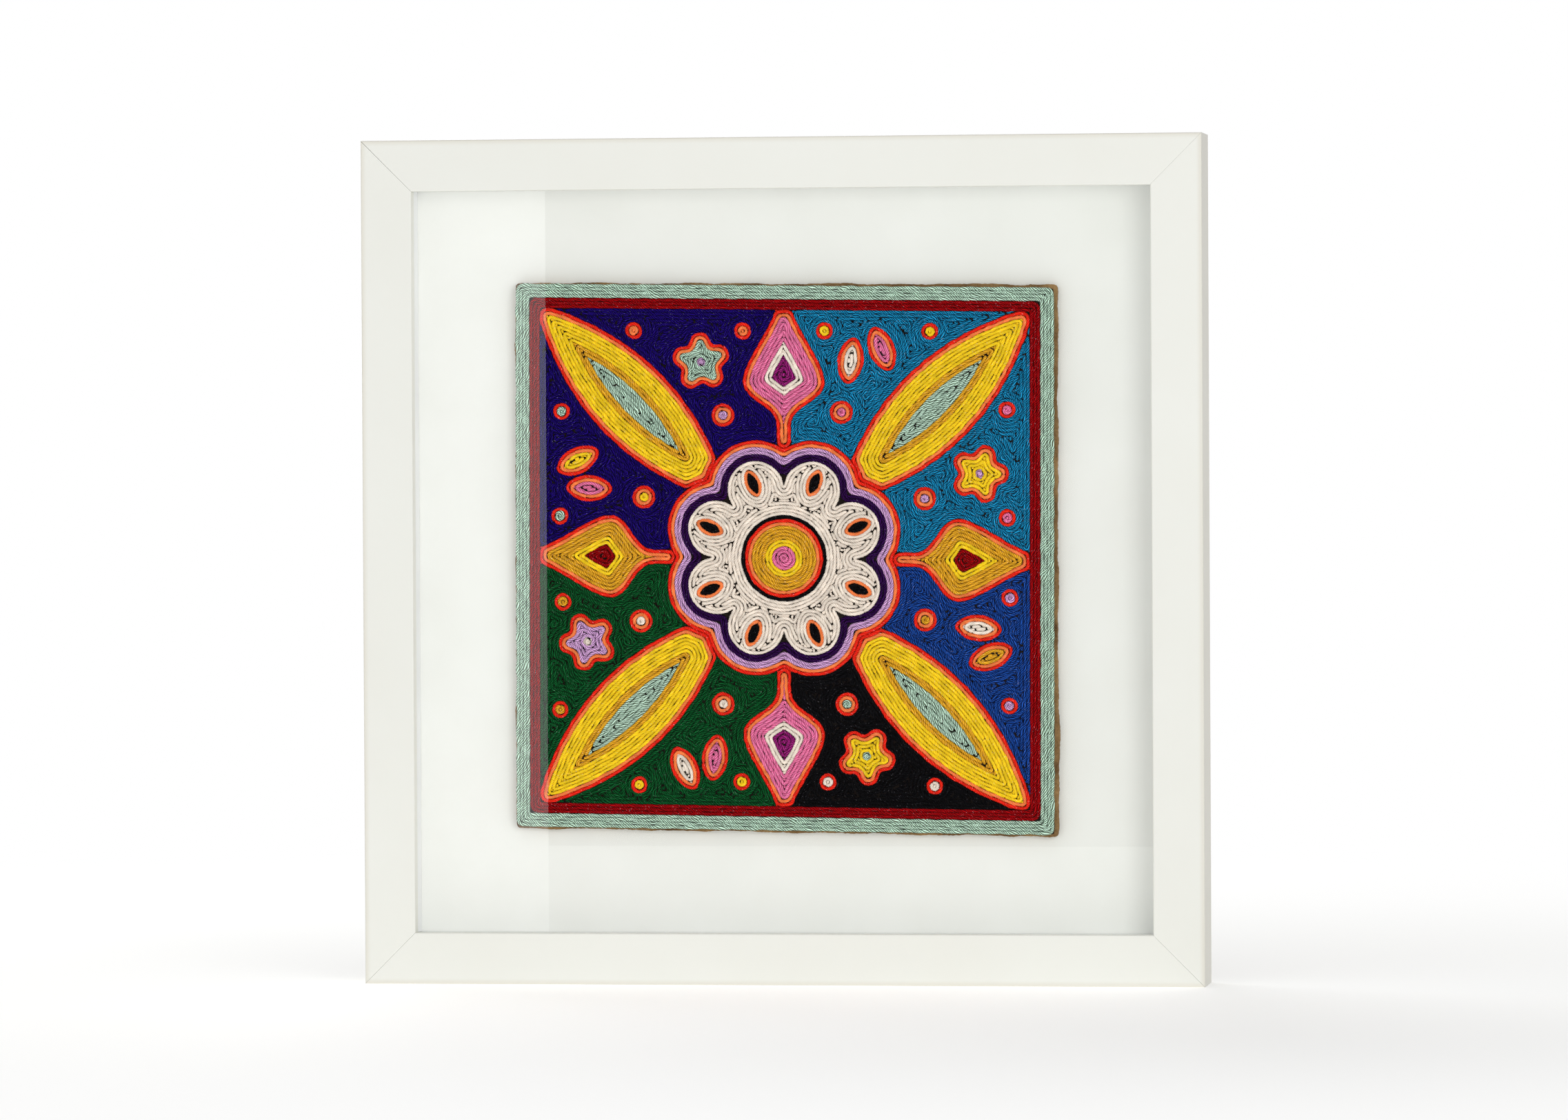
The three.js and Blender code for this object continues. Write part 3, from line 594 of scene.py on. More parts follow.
@dataclass(frozen=True)
class SpunYarn:
    """Four-ply acrylic craft yarn, spun and dyed in the hank: soft plies with a low sheen and fine hairs."""

    dye: Dye
    fibre_long: float = 2.2
    fibres_round: float = 16.0  # real fibres are too fine to show, so a few bundles stand for them
    # Colour of the painted glints
    pale: str = "#e4dfea"
    glint_long: float = 0.9
    glints_round: float = 9.0
    glint_share: float = 0.4
    dark_glint: float = 0.3  # how much of that is left where a dye is black
    roughness: float = 0.6
    specular: float = 0.02
    sheen: float = 0.08
    # Colour of the wax, towards which the pits between strands turn, partly as painted shade
    wax: str = "#160a05"
    pit_darkening_share: float = 0.85

    def material(self) -> bpy.types.Material:
        """Make the material."""
        material, tree = new_material(f"acrylic_yarn_spun_{self.dye.name.lower()}")
        crown, groove = (linear(colour) for colour in self.dye.value)
        lay = add_node(tree, "UVMap", uv_map="lay")
        stretched = add_node(
            tree, "Mapping", {"Vector": lay, "Scale": (1 / self.fibre_long, self.fibres_round, 1.0)}
        )
        fibre = add_node(tree, "TexNoise", {"Vector": stretched, "Scale": 1.0, "Detail": 3.0})
        # Half a ply lies between its crown and the groove beside it
        places = add_node(tree, "SeparateXYZ", {0: lay})
        round_way = add_node(tree, "Math", {0: places.outputs["Y"], 1: float(PLIES)}, operation="MULTIPLY")
        off_crown = add_node(tree, "Math", {0: round_way, 1: 0.5}, operation="PINGPONG")
        # Painted shade darkens each groove, and loose fibres bridge it here and there, so it shows as a row
        # of dashes
        uneven = add_node(tree, "Math", {0: fibre, 1: 0.4, 2: off_crown}, operation="MULTIPLY_ADD")
        depth = add_node(
            tree, "MapRange",
            {"Value": uneven, "From Min": 0.38, "From Max": 0.62},
            interpolation_type="SMOOTHSTEP",
        )
        tone = add_node(tree, "Attribute", attribute_name="tone")
        # The lower flanks of a strand turn towards the groove colour: partly a stain from the wax that it
        # lies in, partly painted shade between strands
        wax_and_shade = add_node(tree, "Attribute", attribute_name="wax_and_shade")
        darkened = add_node(tree, "Math", {0: depth, 1: wax_and_shade.outputs["Fac"]}, operation="MAXIMUM")
        # Painted shade: grooves and darkened flanks take the groove colour
        shade = add_node(tree, "Mix", {0: darkened, MIX_A: crown, MIX_B: groove}, data_type="RGBA")
        # Where the grooves run down to the next strand, the colour goes towards the wax's: wax in the pits,
        # and painted shade there
        pit_shade = add_node(tree, "Math", {0: depth, 1: wax_and_shade.outputs["Fac"]}, operation="MULTIPLY")
        pit_darkening = add_node(tree, "Math", {0: pit_shade, 1: self.pit_darkening_share}, operation="MULTIPLY")
        pit_shaded = add_node(tree, "Mix", {0: pit_darkening, MIX_A: shade, MIX_B: linear(self.wax)}, data_type="RGBA")
        fleck = add_node(
            tree, "MapRange",
            {"Value": fibre, "From Min": 0.3, "From Max": 0.7, "To Min": 0.84, "To Max": 1.14},
        )
        level = add_node(tree, "Math", {0: fleck, 1: tone.outputs["Fac"]}, operation="MULTIPLY")
        colour = add_node(tree, "VectorMath", {0: pit_shaded, "Scale": level}, operation="SCALE")
        # Painted glints: pale specks here and there along the strands, weaker where a dark dye took them
        glint_strength = self.glint_share * (self.dark_glint + (1 - self.dark_glint) * max(crown[:3]))
        glint_place = add_node(
            tree, "Mapping", {"Vector": lay, "Scale": (1 / self.glint_long, self.glints_round, 1.0)}
        )
        ends = add_node(tree, "TexNoise", {"Vector": glint_place, "Scale": 1.0, "Detail": 0.0})
        glint = add_node(
            tree, "MapRange", {"Value": ends, "From Min": 0.73, "From Max": 0.8, "To Max": glint_strength}
        )
        glinted_colour = add_node(
            tree, "Mix", {0: glint, MIX_A: colour, MIX_B: linear(self.pale)}, data_type="RGBA"
        )
        relief = add_node(tree, "Bump", {"Height": fibre, "Strength": 0.7, "Distance": 0.12 * MM})
        shader = add_node(
            tree, "BsdfPrincipled",
            {
                "Base Color": glinted_colour,
                "Roughness": self.roughness,
                "IOR": 1.49,
                "Specular IOR Level": self.specular,
                "Sheen Weight": self.sheen,
                "Sheen Roughness": 0.4,
                "Sheen Tint": crown,
                "Normal": relief,
            },
        )
        add_node(tree, "OutputMaterial", {"Surface": shader})
        return material


# The box frame and what lies in its rebate


@dataclass
class BoxFrame:
    """Four mitred rails with a V nail pressed across the back of each corner."""

    level_rails: tuple[str, ...] = ("rail_top", "rail_bottom")
    upright_rails: tuple[str, ...] = ("rail_left", "rail_right")
    corners: tuple[str, ...] = ("top_left", "top_right", "bottom_left", "bottom_right")
    half_size: float = 235.0
    mitre_play: float = 0.141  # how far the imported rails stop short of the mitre
    mitre_fault: float = 0.02  # by how much that may differ
    # How much of that the nails and the lacquer close at the inner and the outer end of each mitre,
    # by the corner's side across and up
    drawn_up: dict[tuple[int, int], tuple[float, float]] = field(
        default_factory=lambda: {
            (-1, 1): (0.07, 0.0),
            (1, 1): (0.105, 0.1),
            (-1, -1): (0.08, 0.07),
            (1, -1): (0.085, 0.07),
        }
    )

    def build(self, zinc: bpy.types.Material) -> None:
        """Lacquer the rails along their grain and plate the nails.

        Args:
            zinc: Finish of the nails.
        """
        for axis, nodes in ((Axis.ACROSS, self.level_rails), (Axis.UP, self.upright_rails)):
            lacquer = SprayedLacquer(axis, self.half_size).material()
            for node in nodes:
                self.rail(node, axis, lacquer)
        dress([f"corner_nail_{corner}" for corner in self.corners], zinc)

    def rail(self, node: str, axis: Axis, lacquer: bpy.types.Material) -> None:
        """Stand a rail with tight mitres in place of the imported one.

        Args:
            node: Name of the CAD node.
            axis: The way that it runs.
            lacquer: Its finish.
        """
        points, triangles = welded(node)
        outward = points - np.array([0.0, 0.0, self.half_size])
        along, beside = axis.value, 2 - axis.value
        short = np.abs(outward[:, beside]) - np.abs(outward[:, along])
        ends = np.abs(short - self.mitre_play) < self.mitre_fault
        for (across, up), (inner, outer) in self.drawn_up.items():
            here = ends & (np.sign(outward[:, 0]) == across) & (np.sign(outward[:, 2]) == up)
            if here.any():
                far = np.abs(outward[here, beside])
                share = (far - far.min()) / np.ptp(far)
                points[here, along] += np.sign(outward[here, along]) * (inner + (outer - inner) * share)
        mesh = new_mesh(f"{node}_fine", points, triangles.tolist())
        add_piece(f"{node}_lacquered", mesh, "frame", node, lacquer)


@dataclass
class Glazing:
    """The pane, and the card strips that hold it off the mount."""

    def dress(self) -> None:
        """Glaze the pane and paper the strips."""
        dress(["glass_pane"], FloatGlass().material())
        strips = PressedCard("spacer_strip_paper_faced", "#fafbfb", "#f0f1f2", relief=0.1)
        dress([f"spacer_{side}" for side in SIDES], strips.material())


@dataclass
class MountStack:
    """The sheets behind the painting: mount board, foam filler and hardboard backing."""

    def dress(self) -> None:
        """Give each sheet its finish."""
        dress(["mount_board"], PressedCard("mount_board_cotton_card", "#f8f9f4", "#f2f3ed").material())
        filler = PressedCard("foam_board_paper_faced", "#f4f4f1", "#e9e9e4", relief=0.1)
        dress(["filler_board"], filler.material())
        dress(["backing_board"], Hardboard().material())


# Hardware on the back


@dataclass
class BackHardware:
    """Turn buttons, strap hangers, their screws and the bumpers, on the back of the rails."""

    bevel: float = 0.25
    bevel_steps: int = 3
    bevel_angle: float = 35.0
    flat_angle: float = 1.0  # faces that meet at less than this are one flat face
    crease: float = 42.0
    wire_levels: int = 1
    head_tall: float = 1.9
    head_side: float = 0.12  # height of the head's widest part
    head_widest: float = 0.985  # as a share of its radius, as is the next
    head_foot: float = 0.94
    head_sunk: float = 0.02
    head_rings: int = 14
    head_steps: int = 64
    slot_reach: float = 1.75
    slot_half: float = 0.42
    slot_depth: float = 0.85
    dome: float = 0.55  # share of the head's height that is domed
    shank: float = 1.6
    point_long: float = 3.0
    point_half: float = 0.25
    bumper_ease: float = 1.6
    bumper_steps: int = 6
    bumper_flat: float = 0.4  # share of the radius within which its front is flat
    bumper_foot: float = 0.97
    bumper_side: float = 0.3
    hanger_sides: tuple[str, ...] = ("left", "right")
    zinc: bpy.types.Material | None = None
    brass: bpy.types.Material | None = None

    def build(self) -> None:
        """Make the finer pieces and give each its finish."""
        rubber = MouldedRubber().material()
        for side in SIDES:
            self.eased(f"turn_button_{side}", f"button_{side}", self.brass)
            self.screw(f"button_screw_{side}", self.brass)
        for side in self.hanger_sides:
            self.eased(f"hanger_strap_{side}", "frame", self.zinc)
            self.ring(side)
            self.screw(f"hanger_screw_{side}", self.zinc)
            self.bumper(side, rubber)

    def clean_mesh(self, node: str) -> bpy.types.Mesh:
        """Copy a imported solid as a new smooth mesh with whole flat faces.

        Args:
            node: Name of the CAD node.

        Returns:
            The new mesh, in metres.
        """
        points, triangles = welded(node)
        mesh = new_mesh(f"{node}_fine", points, triangles.tolist())
        flat = math.radians(self.flat_angle)
        work = bmesh.new()
        work.from_mesh(mesh)
        bmesh.ops.dissolve_limit(work, angle_limit=flat, verts=work.verts, edges=work.edges)
        work.to_mesh(mesh)
        work.free()
        mesh.shade_smooth()
        return mesh

    def eased(self, node: str, body: str, plating: bpy.types.Material) -> None:
        """Stand a plate with rounded edges in place of a sharp one.

        Args:
            node: Name of the CAD node.
            body: The body that it moves with.
            plating: Its finish.
        """
        piece = add_piece(f"{node}_eased", self.clean_mesh(node), body, node, plating)
        round_over = piece.modifiers.new("stamped edge", "BEVEL")
        round_over.width = self.bevel * MM
        round_over.segments = self.bevel_steps
        round_over.limit_method = "ANGLE"
        round_over.angle_limit = math.radians(self.bevel_angle)
        round_over.harden_normals = True

    def ring(self, side: str) -> None:
        """Stand a smooth wire ring in place of the faceted one."""
        node = f"hanger_ring_{side}"
        piece = add_piece(f"{node}_wire", self.clean_mesh(node), f"ring_{side}", node, self.zinc)
        fine = piece.modifiers.new("round wire", "SUBSURF")
        fine.levels = self.wire_levels
        fine.render_levels = self.wire_levels

    def turned(self, profile: list[tuple[float, float]], steps: int, cut: float = 0.0) -> bpy.types.Mesh:
        """Turn a profile about Y.

        Args:
            profile: Radius and height, in mm, from the middle of the top to the middle of the bottom.
            steps: How many parts the round is divided in.
            cut: How deep a cross is sunk into the top, in mm.

        Returns:
            The new mesh, in metres, about the origin.
        """
        angles = np.arange(steps) * 2 * math.pi / steps
        points = []
        for radius, height in profile[1:-1]:
            across, up = radius * np.cos(angles), radius * np.sin(angles)
            arm = (np.abs(across) < self.slot_half) | (np.abs(up) < self.slot_half)
            sunk = cut * (arm & (radius < self.slot_reach)) * (height > 0)
            points.append(np.column_stack([across, np.full(steps, height) - sunk, up]))
        middle = [(0.0, profile[0][1] - cut, 0.0), (0.0, profile[-1][1], 0.0)]
        vertices = np.concatenate([*points, np.array(middle)])
        top, bottom = len(vertices) - 2, len(vertices) - 1
        faces = []
        last = (len(points) - 1) * steps
        for i in range(steps):
            j = (i + 1) % steps
            faces.append((top, j, i))
            faces.append((bottom, last + i, last + j))
            for ring in range(0, last, steps):
                faces.append((ring + i, ring + j, ring + steps + j, ring + steps + i))
        mesh = new_mesh("turned", vertices, faces)
        smooth_over(mesh, self.crease)
        return mesh

    def screw(self, node: str, plating: bpy.types.Material) -> None:
        """Stand a screw with a domed head and a cross slot in place of the plain one.

        Args:
            node: Name of the CAD node.
            plating: Its finish.
        """
        low, high = (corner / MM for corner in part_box(node))
        radius = (high.x - low.x) / 2
        tall = min(high.y - low.y, self.head_tall)
        rings = [radius * i / self.head_rings for i in range(self.head_rings + 1)]
        rise = tall * self.dome
        crown = [(r, tall - rise * (r / radius) ** 2) for r in rings]
        side = (radius * self.head_widest, self.head_side)
        under = [side, (radius * self.head_foot, 0.0), (self.shank, -self.head_sunk)]
        tip = low.y - (high.y - tall)
        point = [(self.shank, tip + self.point_long), (self.point_half, tip), (0.0, tip)]
        mesh = self.turned(crown + under + point, self.head_steps, self.slot_depth)
        centre = Vector(((low.x + high.x) / 2, high.y - tall, (low.z + high.z) / 2)) * MM
        mesh.transform(Matrix.Translation(centre))
        add_piece(f"{node}_cross_head", mesh, "frame", node, plating)

    def bumper(self, side: str, rubber: bpy.types.Material) -> None:
        """Stand a finely rounded bumper in place of the coarse one.

        Args:
            side: Which of the two.
            rubber: Its finish.
        """
        node = f"wall_bumper_{side}"
        low, high = (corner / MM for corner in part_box(node))
        radius, tall = (high.x - low.x) / 2, high.y - low.y
        ease = min(self.bumper_ease, tall / 3)
        turns = [math.pi / 2 * i / self.bumper_steps for i in range(self.bumper_steps + 1)]
        rim = [(radius - ease + ease * math.sin(t), tall - ease + ease * math.cos(t)) for t in turns]
        foot = [(radius, self.bumper_side), (radius * self.bumper_foot, 0.0), (0.0, 0.0)]
        front = [(0.0, tall), (radius * self.bumper_flat, tall)]
        mesh = self.turned(front + rim + foot, self.head_steps)
        centre = Vector(((low.x + high.x) / 2, low.y, (low.z + high.z) / 2)) * MM
        mesh.transform(Matrix.Translation(centre))
        add_piece(f"{node}_moulded", mesh, "frame", node, rubber)


# The painting: board, wax and yarn


def spaced(path: np.ndarray, step: float) -> np.ndarray:
    """Place points evenly along an open line.

    Args:
        path: The line's points, in mm.
        step: About how far apart the new points lie.

    Returns:
        The new points, from end to end.
    """
    gaps = np.linalg.norm(np.diff(path, axis=0), axis=1)
    along = np.concatenate([[0.0], np.cumsum(gaps)])
    count = max(2, round(along[-1] / step) + 1)
    marks = np.linspace(0, along[-1], count)
    return np.column_stack([np.interp(marks, along, path[:, axis]) for axis in range(path.shape[1])])


def closed(loop: np.ndarray) -> np.ndarray:
    """The loop with its first point again at its end."""
    return np.concatenate([loop, loop[:1]])


def signed_distance(loops: list[np.ndarray], x: np.ndarray, z: np.ndarray) -> np.ndarray:
    """Measure how deep each point of a grid lies inside outlines.

    Args:
        loops: Closed outlines, in mm. One inside another is a hole.
        x: Places of the grid's columns.
        z: Places of its rows.

    Returns:
        The distance to the nearest edge for each row and column, below zero outside.
    """
    nearest = np.full((len(z), len(x)), np.inf)
    inside = np.zeros((len(z), len(x)), dtype=bool)
    across, up = x[None, :], z[:, None]
    for loop in loops:
        for (ax, az), (bx, bz) in zip(loop, np.roll(loop, -1, axis=0)):
            dx, dz = bx - ax, bz - az
            span = dx * dx + dz * dz
            if span < TINY:
                continue
            share = np.clip(((across - ax) * dx + (up - az) * dz) / span, 0, 1)
            nearest = np.minimum(nearest, (across - ax - share * dx) ** 2 + (up - az - share * dz) ** 2)
            if abs(dz) > TINY:
                inside ^= ((az > up) != (bz > up)) & (across < ax + (up - az) * dx / dz)
    return np.where(inside, 1.0, -1.0) * np.sqrt(nearest)


def level_lines(depth: np.ndarray, level: float) -> list[np.ndarray]:
    """Trace the closed lines on which a grid of values crosses a level.

    Args:
        depth: Values by row and column, below the level all round the edge.
        level: The value to trace.

    Returns:
        Closed lines as column and row places, which may lie between two.
    """
    inside = depth > level
    row_h, col_h = np.nonzero(inside[:, :-1] != inside[:, 1:])
    row_v, col_v = np.nonzero(inside[:-1, :] != inside[1:, :])
    left, right = depth[row_h, col_h], depth[row_h, col_h + 1]
    low, high = depth[row_v, col_v], depth[row_v + 1, col_v]
    points = np.concatenate(
        [
            np.column_stack([col_h + (level - left) / (right - left), row_h]),
            np.column_stack([col_v, row_v + (level - low) / (high - low)]),
        ]
    )
    level_id = np.full(depth.shape, -1)
    upright_id = np.full(depth.shape, -1)
    level_id[row_h, col_h] = np.arange(len(row_h))
    upright_id[row_v, col_v] = len(row_h) + np.arange(len(row_v))
    cells = np.stack(
        [level_id[:-1, :-1], upright_id[:-1, 1:], level_id[1:, :-1], upright_id[:-1, :-1]], axis=-1
    ).reshape(-1, 4)
    hits = (cells >= 0).sum(axis=1)
    plain = np.sort(cells[hits == 2], axis=1)[:, 2:]
    saddles = cells[hits == 4]
    pairs = np.concatenate([plain, saddles[:, :2], saddles[:, 2:]])
    ends = np.concatenate([pairs[:, 0], pairs[:, 1]])
    others = np.concatenate([pairs[:, 1], pairs[:, 0]])
    links = others[np.argsort(ends, kind="stable")].reshape(-1, 2)
    waiting = np.ones(len(points), dtype=bool)
    lines = []
    for start in range(len(points)):
        if not waiting[start]:
            continue
        line = []
        here = start
        while waiting[here]:
            waiting[here] = False
            line.append(here)
            onward, back = links[here]
            here = onward if waiting[onward] else back
        lines.append(points[line])
    return lines


class MotifShape(Enum):
    """Small figures that are set into a larger field of yarn."""

    BLOSSOM = "blossom"
    SEED = "seed"
    BERRY = "berry"


@dataclass(frozen=True)
class Motif:
    """A small figure: its middle from the middle of the painting, its half sizes, turn and dyes inwards."""

    shape: MotifShape
    x: float
    z: float
    half_long: float
    half_wide: float
    turn: float
    dyes: tuple[Dye, ...]
    points: int = 60
    petals: int = 5
    notch: float = 0.3
    taper: float = 0.35  # how fast a seed narrows to its tips

    def outline(self, middle: np.ndarray) -> np.ndarray:
        """Draw the figure's outline.

        Args:
            middle: Middle of the painting, in mm.

        Returns:
            Its points across and up.
        """
        round_way = np.arange(self.points) * 2 * math.pi / self.points
        cosine, sine = np.cos(round_way), np.sin(round_way)
        if self.shape is MotifShape.SEED:
            along, across = self.half_long * cosine, self.half_wide * sine * np.abs(sine) ** self.taper
        else:
            swell = np.ones(self.points)
            if self.shape is MotifShape.BLOSSOM:
                swell -= self.notch * (0.5 - 0.5 * np.cos(self.petals * round_way)) ** 2
            along, across = self.half_long * swell * cosine, self.half_wide * swell * sine
        turn = math.radians(self.turn)
        x = self.x + along * math.cos(turn) - across * math.sin(turn)
        z = self.z + along * math.sin(turn) + across * math.cos(turn)
        return middle + np.column_stack([x, z])


@dataclass
class Strand:
    """One run of yarn: its line in mm, its dye, how thick it is along the line, and how deep it lies."""

    path: np.ndarray
    dye: Dye
    girth: np.ndarray = field(default_factory=lambda: np.ones(1))
    sink: float = 0.0


@dataclass
class YarnLay:
    """How the yarn is spun, and how its strands are laid side by side from an edge inwards."""

    pitch: float = 1.9
    edge: float = 0.83
    turn_length: float = 6.2
    crown: float = 1.12
    groove: float = 0.9
    flatten: float = 0.61
    pressed: float = 0.7  # how flat the front is pressed: 1 leaves it round
    ring_step: float = 0.8
    grid: float = 0.35
    bend: float = 1.3
    wander: float = 0.24
    unevenness: float = 0.09
    bob: float = 0.06  # how far a strand rises and sinks along its line
    spin: float = 0.3  # how far its twist runs ahead and behind, in turns
    waves: int = 4  # how many waves its unevenness adds up, and how long they are
    wave_lengths: tuple[float, float] = (5.0, 20.0)
    tip: float = 0.5  # how thick its ends are, and the rings next to them
    near_tip: float = 0.93
    tones: tuple[float, float] = (0.94, 1.05)
    least_steps: int = 5
    hank: float = 900.0  # length of yarn from which each strand's fibres are taken
    clean: float = 0.6  # height on a strand, as a share, above which neither wax stain nor painted shade darkens it
    beside: float = 0.8  # a line nearer to itself than this share of a pitch becomes one strand
    hairpin: float = 2.2  # pitches along a line, or this share of it, before it can lie beside itself
    hairpin_share: float = 0.3
    short: float = 3.0  # a loop or hairpin under this many pitches is no strand of its own
    dab_least: float = 0.15
    dab_half: float = 0.6
    dab_points: int = 7
    tuck_room: float = 0.2  # a gap with more room than this round its middle takes an end of yarn
    tuck_end: float = 0.4  # the end stops at this share of that room
    tuck_over: float = 0.14  # how much wider than its gap the end is
    tuck_half: float = 0.3
    tuck_ways: int = 12
    tuck_look: tuple[int, ...] = (-3, -2, -1, 1, 2, 3)
    tuck_step: float = 0.5
    tuck_turn: float = 24.0
    tuck_steps: int = 30
    tuck_sink: float = 0.12
    most_tucks: int = 400
    overlap: int = 2  # grid steps by which the ends of a closed strand lie over each other
    reach: int = 8  # how many grid steps round a strand its distance is measured
    rng: np.random.Generator = field(default_factory=lambda: np.random.default_rng(SEED))

    def soften(self, path: np.ndarray, is_closed: bool) -> np.ndarray:
        """Round off corners that yarn can't follow.

        Args:
            path: Points about a grid step apart.
            is_closed: Whether the ends meet.

        Returns:
            The softened points.
        """
        for _ in range(round(2 * (self.bend / self.grid) ** 2)):
            if is_closed:
                path = 0.25 * np.roll(path, 1, axis=0) + 0.5 * path + 0.25 * np.roll(path, -1, axis=0)
            else:
                path = path.copy()
                path[1:-1] = 0.25 * path[:-2] + 0.5 * path[1:-1] + 0.25 * path[2:]
        return path

    def settle(self, loop: np.ndarray, reach: float) -> list[np.ndarray]:
        """Turn a closed line into strands, one strand where the line runs back beside itself.

        Args:
            loop: The closed line.
            reach: How near, in mm, two runs are when one strand takes their place.

        Returns:
            Open lines, each one strand.
        """
        loop = spaced(closed(loop), self.grid)[:-1]
        count = len(loop)
        length = count * self.grid
        if length < self.short * self.pitch:
            return self.dab(loop)
        order = np.arange(count)
        apart = np.abs(order[:, None] - order[None, :])
        apart = np.minimum(apart, count - apart) * self.grid
        gap = np.linalg.norm(loop[:, None, :] - loop[None, :, :], axis=2)
        gap[apart < min(self.hairpin * self.pitch, self.hairpin_share * length)] = np.inf
        partner = gap.argmin(axis=1)
        pinched = gap[order, partner] < reach
        if not pinched.any():
            start = int(self.rng.integers(count))
            soft = self.soften(loop, True)
            soft = np.roll(soft, -start, axis=0)
            return [np.concatenate([soft, soft[: self.overlap]])]
        if not pinched.all():
            shift = int(np.argmin(pinched))
            order_back = (order + shift) % count
            loop, pinched = loop[order_back], pinched[order_back]
            partner = (partner[order_back] - shift) % count
        keep = ~pinched | (order < partner)
        beside = pinched & (order < partner)
        path = np.where(beside[:, None], 0.5 * (loop + loop[partner]), loop)
        self.trim_tips(keep, beside, pinched)
        runs = [run for run in self.runs(path, keep) if len(run) * self.grid > self.pitch]
        return [self.soften(run, False) for run in runs]

    def trim_tips(self, keep: np.ndarray, beside: np.ndarray, pinched: np.ndarray) -> None:
        """Drop the far half of each hairpin between two runs that became one strand.

        Args:
            keep: Which points stay, changed in place.
            beside: Points that stand for two runs.
            pinched: Points that lie close to another run.
        """
        free = np.flatnonzero(~pinched)
        if not len(free):
            return
        breaks = np.flatnonzero(np.diff(free) > 1)
        starts = np.concatenate([[free[0]], free[breaks + 1]])
        stops = np.concatenate([free[breaks], [free[-1]]])
        for start, stop in zip(starts, stops):
            short = (stop - start) * self.grid < self.short * self.pitch
            if short and start > 0 and beside[start - 1] and stop + 1 < len(keep) and not keep[stop + 1]:
                keep[(start + stop) // 2 : stop + 1] = False

    def runs(self, path: np.ndarray, keep: np.ndarray) -> list[np.ndarray]:
        """Split a closed line into the runs that stay.

        Args:
            path: The closed line's points.
            keep: Which of them stay.

        Returns:
            The runs, in order.
        """
        if keep.all():
            return [path]
        start = int(np.argmin(keep))
        path, keep = np.roll(path, -start, axis=0), np.roll(keep, -start)
        marks = np.flatnonzero(np.diff(np.concatenate([[0], keep.astype(int), [0]])))
        return [path[a:b] for a, b in zip(marks[::2], marks[1::2])]

    def dab(self, loop: np.ndarray) -> list[np.ndarray]:
        """Fill the last small spot of a field with a short end of yarn.

        Args:
            loop: The small closed line round the spot.

        Returns:
            One short line, or none where the spot is too small.
        """
        middle = loop.mean(axis=0)
        spread = loop - middle
        lengthways = np.linalg.svd(spread, full_matrices=False)[2][0]
        half = np.abs(spread @ lengthways).max()
        if half < self.dab_least:
            return []
        half = max(half, self.dab_half)
        return [middle + np.linspace(-half, half, self.dab_points)[:, None] * lengthways]

    def fill(self, loops: list[np.ndarray], dyes: tuple[Dye, ...], is_band: bool = False) -> list[Strand]:
        """Lay strands from a field's outlines inwards.

        Args:
            loops: The field's outlines.
            dyes: Dye of each strand from the edge in. The last one fills the rest.
            is_band: Whether the field is only a band, one strand for each dye.

        Returns:
            The strands.
        """
        every = np.concatenate(loops)
        low, high = every.min(axis=0) - 2 * self.grid, every.max(axis=0) + 3 * self.grid
        x, z = np.arange(low[0], high[0], self.grid), np.arange(low[1], high[1], self.grid)
        depth = signed_distance(loops, x, z)
        strands: list[Strand] = []
        rounds = max(int((depth.max() - self.edge) // self.pitch) + 1, 0)
        if is_band:
            rounds = len(dyes)
            depth = np.minimum(depth, rounds * self.pitch)
        for ring in range(rounds):
            dye = dyes[min(ring, len(dyes) - 1)]
            for line in level_lines(depth, self.edge + ring * self.pitch):
                for path in self.settle(low + line * self.grid, self.beside * self.pitch):
                    strands.append(Strand(path, dye))
        if is_band:
            depth = np.minimum(depth, rounds * self.pitch - depth)
        return strands + self.tucks(strands, depth, low, dyes)

    def tucks(
        self, strands: list[Strand], depth: np.ndarray, low: np.ndarray, dyes: tuple[Dye, ...]
    ) -> list[Strand]:
        """Tuck short ends of yarn into the gaps that are left between strands.

        Args:
            strands: The strands that are already laid.
            depth: How deep each grid point lies in the field.
            low: The grid's lowest corner.
            dyes: Dye of each strand from the edge in.

        Returns:
            The ends, each as thick as its gap has room for.
        """
        half = self.pitch / 2
        room = depth.copy()
        for strand in strands:
            line = spaced(strand.path, self.grid)
            self.take_room(room, (line - low) / self.grid, np.full(len(line), half))
        ends = []
        for _ in range(self.most_tucks):
            row, column = np.unravel_index(np.argmax(room), room.shape)
            if room[row, column] < self.tuck_room:
                break
            line = self.gap_line(room, np.array([column, row], dtype=float))
            free = np.array([self.room_at(room, point) for point in line])
            radii = np.clip(free + self.tuck_over, self.tuck_half, half)
            self.take_room(room, line, radii)
            room[row, column] = 0
            ring = round((depth[row, column] - self.edge) / self.pitch)
            dye = dyes[min(max(ring, 0), len(dyes) - 1)]
            ends.append(Strand(low + line * self.grid, dye, radii / half, self.tuck_sink))
        return ends

    def take_room(self, room: np.ndarray, line: np.ndarray, radii: np.ndarray) -> None:
        """Take the space of a strand off the free room on a grid.

        Args:
            room: Free room round each grid point, changed in place.
            line: The strand's points, as column and row places.
            radii: Its half width at each of them.
        """
        near = np.round(line).astype(int)
        around = np.arange(-self.reach, self.reach + 1)
        rows = near[:, 1, None, None] + around[None, :, None]
        columns = near[:, 0, None, None] + around[None, None, :]
        rows, columns = np.broadcast_arrays(rows, columns)
        gap = np.hypot(columns - line[:, 0, None, None], rows - line[:, 1, None, None]) * self.grid
        gap -= radii[:, None, None]
        inside = (rows >= 0) & (rows < room.shape[0]) & (columns >= 0) & (columns < room.shape[1])
        np.minimum.at(room, (rows[inside], columns[inside]), gap[inside])

